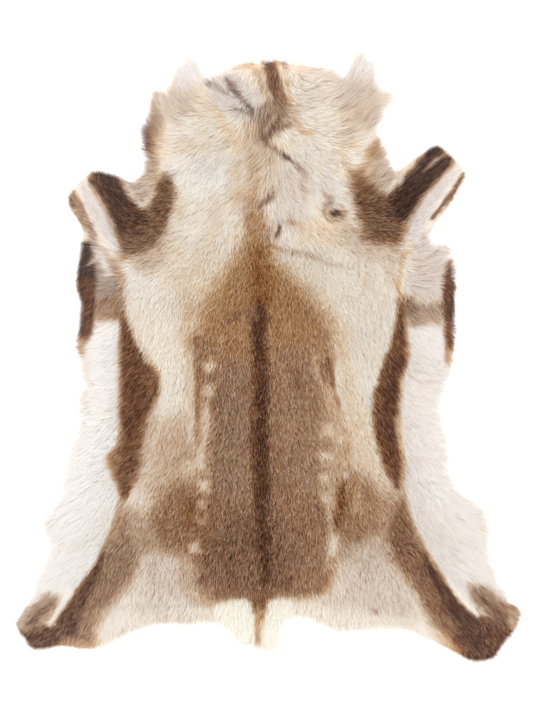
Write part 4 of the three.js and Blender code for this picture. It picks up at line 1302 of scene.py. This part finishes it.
def blade_faces(n, lengths):
    """Corner indices and face starts for n blades of so many lengths."""
    per = 2 * lengths + 1
    faces = [(2 * k, 2 * k + 2, 2 * k + 3, 2 * k + 1) for k in range(lengths - 1)]
    faces.append((2 * lengths - 2, 2 * lengths, 2 * lengths - 1))
    corners = np.array([c for face in faces for c in face])
    starts = np.cumsum([0] + [len(face) for face in faces])[:-1]
    all_corners = (np.arange(n)[:, None] * per + corners[None]).ravel()
    all_starts = (np.arange(n)[:, None] * len(corners) + starts[None]).ravel()
    return all_corners, all_starts


print("a blade of 2 lengths has corners:", blade_faces(1, 2)[0].tolist())

# %% [markdown]
# **Single hairs** differ: some take more pigment than their neighbours, a few are dark all along, and
# the root of each is darker than its tip. A noise texture over the fur would colour hairs in pieces, so
# each blade's colours are worked out here and kept in its UV map.

# %% The colour along each hair
LUCK = 0.6
DARK_HAIRS, DARKER = 0.06, 0.22
SEEN, LONG_SEEN = (0.4, 0.95), 0.75
HAIR_SHADE, LOCK_SHADE, STRAND_SHADE, LONG_CALMER = 0.15, 0.12, 0.2, 0.8
ROOT_TO_TIP, MEAN_LEVEL = 0.10, 0.45
WARMTH_SPREAD = 0.09
EDGE_STEP = 0.008


def blade_colours(which, lengths, rng):
    """Pigment and warmth at each of the blades' points. A short hair has one colour, a long one takes
    the colours of the places it passes over."""
    n = len(which)
    steps = np.linspace(0, 1, lengths + 1)
    seen = rng.uniform(*SEEN, n)
    own = LONG_SEEN * long_share(which)
    along = ((1 - own) * seen)[:, None] + own[:, None] * steps[None]
    x = root_x[which, None] + along * (reach * east)[which, None]
    y = root_y[which, None] + along * (reach * north)[which, None]
    toss = np.repeat(LUCK * rng.uniform(-1, 1, n), lengths + 1)
    pigment, warmth = (c.reshape(x.shape) for c in coat_colour(x.ravel(), y.ravel(), toss))
    shade = rng.normal(0, HAIR_SHADE, n) + LOCK_SHADE * (lock_number[which] - 0.5)
    shade = shade + STRAND_SHADE * (strand[which] - 0.5)
    shade = shade[:, None] * (1 - LONG_CALMER * own)[:, None]
    dark_hair = DARKER * (rng.uniform(0, 1, n) < DARK_HAIRS)[:, None] * smooth_step(0.1, 0.35, pigment)
    known = np.clip(pigment, 0, 1)
    # White and black hairs differ little, brown ones most
    body = pigment + shade * (0.1 + 2.3 * known**1.5 * (1.3 - known)) + dark_hair
    depth = body + ROOT_TO_TIP * (MEAN_LEVEL - steps)[None] * (0.4 + pigment)
    warm = warmth + rng.normal(0, WARMTH_SPREAD, n)[:, None]
    u = np.repeat(depth, 2, axis=1)[:, :-1]
    sides = np.where(np.arange(u.shape[1]) % 2, EDGE_STEP, -EDGE_STEP)[None]
    v = np.repeat(warm, 2, axis=1)[:, :-1] + sides
    return np.stack([np.clip(u, 0.01, 0.99), np.clip(v, 0.02, 0.98)], 2)


# %% The pieces of fur
LENGTHS = {"neck": 3, "belly": 3}


def fur_piece(name, which, lengths, seed):
    """One piece of fur: the blades of these hairs, with pigment and warmth as their UV map."""
    rng = np.random.default_rng(seed)
    points = blade_points(which, lengths, rng)
    uv = blade_colours(which, lengths, rng)
    corners, starts = blade_faces(len(which), lengths)
    mesh = bpy.data.meshes.new(name)
    mesh.vertices.add(points.shape[0] * points.shape[1])
    mesh.vertices.foreach_set("co", points.astype(np.float32).ravel())
    mesh.loops.add(len(corners))
    mesh.loops.foreach_set("vertex_index", corners.astype(np.int32))
    mesh.polygons.add(len(starts))
    mesh.polygons.foreach_set("loop_start", starts.astype(np.int32))
    mesh.update(calc_edges=True)
    add_hair_map(mesh, uv.reshape(-1, 2), corners)
    mesh.materials.append(guard_hair)
    mesh.shade_smooth()
    print(name, "hairs:", len(which), "triangles:", len(which) * (2 * lengths - 1))
    return in_scene(name, mesh)


furs = []
for index, part in enumerate(PIECES):
    which = np.flatnonzero(piece_of == index)
    furs.append(fur_piece("fur_" + part, which, LENGTHS.get(part, 2), 50 + index))

# %% [markdown]
# ## What belongs to what
# The leather is the sheet that was cut, and the wool and the hair grow on it. All of them stand for
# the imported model's one solid and ride on its one body.

# %% Riding and replacing
for piece in (leather, wool, *furs):
    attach(piece, "root")
    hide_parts("hide")

# %% [markdown]
# ## Floor, light and camera
# The hide lies on a plain pale floor under one large soft lamp, a little to the upper left, with a
# weaker one across from it and a bright surround that fills the shadows. The camera looks straight down
# from far off, so that the edges aren't seen at a slant, as an orthographic one would, but it keeps the
# depth of a real lens.

# %% Floor
FLOOR_HALF = 30
FLOOR_DROP = 0.3 * MM
floor_paint, _, floor_shader = new_material("pale floor paint")
floor_shader.inputs["Base Color"].default_value = linear("#F6F6F6")
floor_shader.inputs["Roughness"].default_value = 0.9
bm = bmesh.new()
bmesh.ops.create_grid(bm, x_segments=1, y_segments=1, size=FLOOR_HALF)
bmesh.ops.translate(bm, verts=bm.verts, vec=(0, 0, -FLOOR_DROP))
floor = new_piece("floor", bm, floor_paint)
print("floor's level in mm:", -FLOOR_DROP / MM)

# %% Light
# (name, place, width of its square, power), in metres and watts
LAMPS = (("softbox", (-1.6, 1.8, 3.0), 2.8, 104), ("fill", (2.2, -1.0, 3.0), 3.0, 56))
SURROUND = 0.9
for name, place, width, power in LAMPS:
    light = bpy.data.lights.new(name, "AREA")
    light.size = width
    light.energy = power
    lamp = in_scene(name, light)
    lamp.location = place
    lamp.rotation_euler = (-Vector(place)).to_track_quat("-Z", "Y").to_euler()

studio = bpy.data.worlds.new("studio")
bpy.context.scene.world = studio
studio.use_nodes = True
background = studio.node_tree.nodes["Background"]
background.inputs["Color"].default_value = linear("#FFFFFF")
background.inputs["Strength"].default_value = SURROUND
bpy.context.scene.view_settings.view_transform = "Standard"
print("lamps:", [row[0] for row in LAMPS])

# %% Camera
FRAME_HEIGHT = 1422 * MM
LENS, SENSOR = 85, 36
AIM = (-3 * MM, -1 * MM)
PILE_LEVEL = 20 * MM
camera_data = bpy.data.cameras.new("camera")
camera_data.lens = LENS
camera_data.sensor_width = SENSOR
camera = in_scene("camera", camera_data)
camera.location = (*AIM, FRAME_HEIGHT * LENS / SENSOR + PILE_LEVEL)
bpy.context.scene.camera = camera
print("camera's height in metres:", round(camera.location.z, 2))
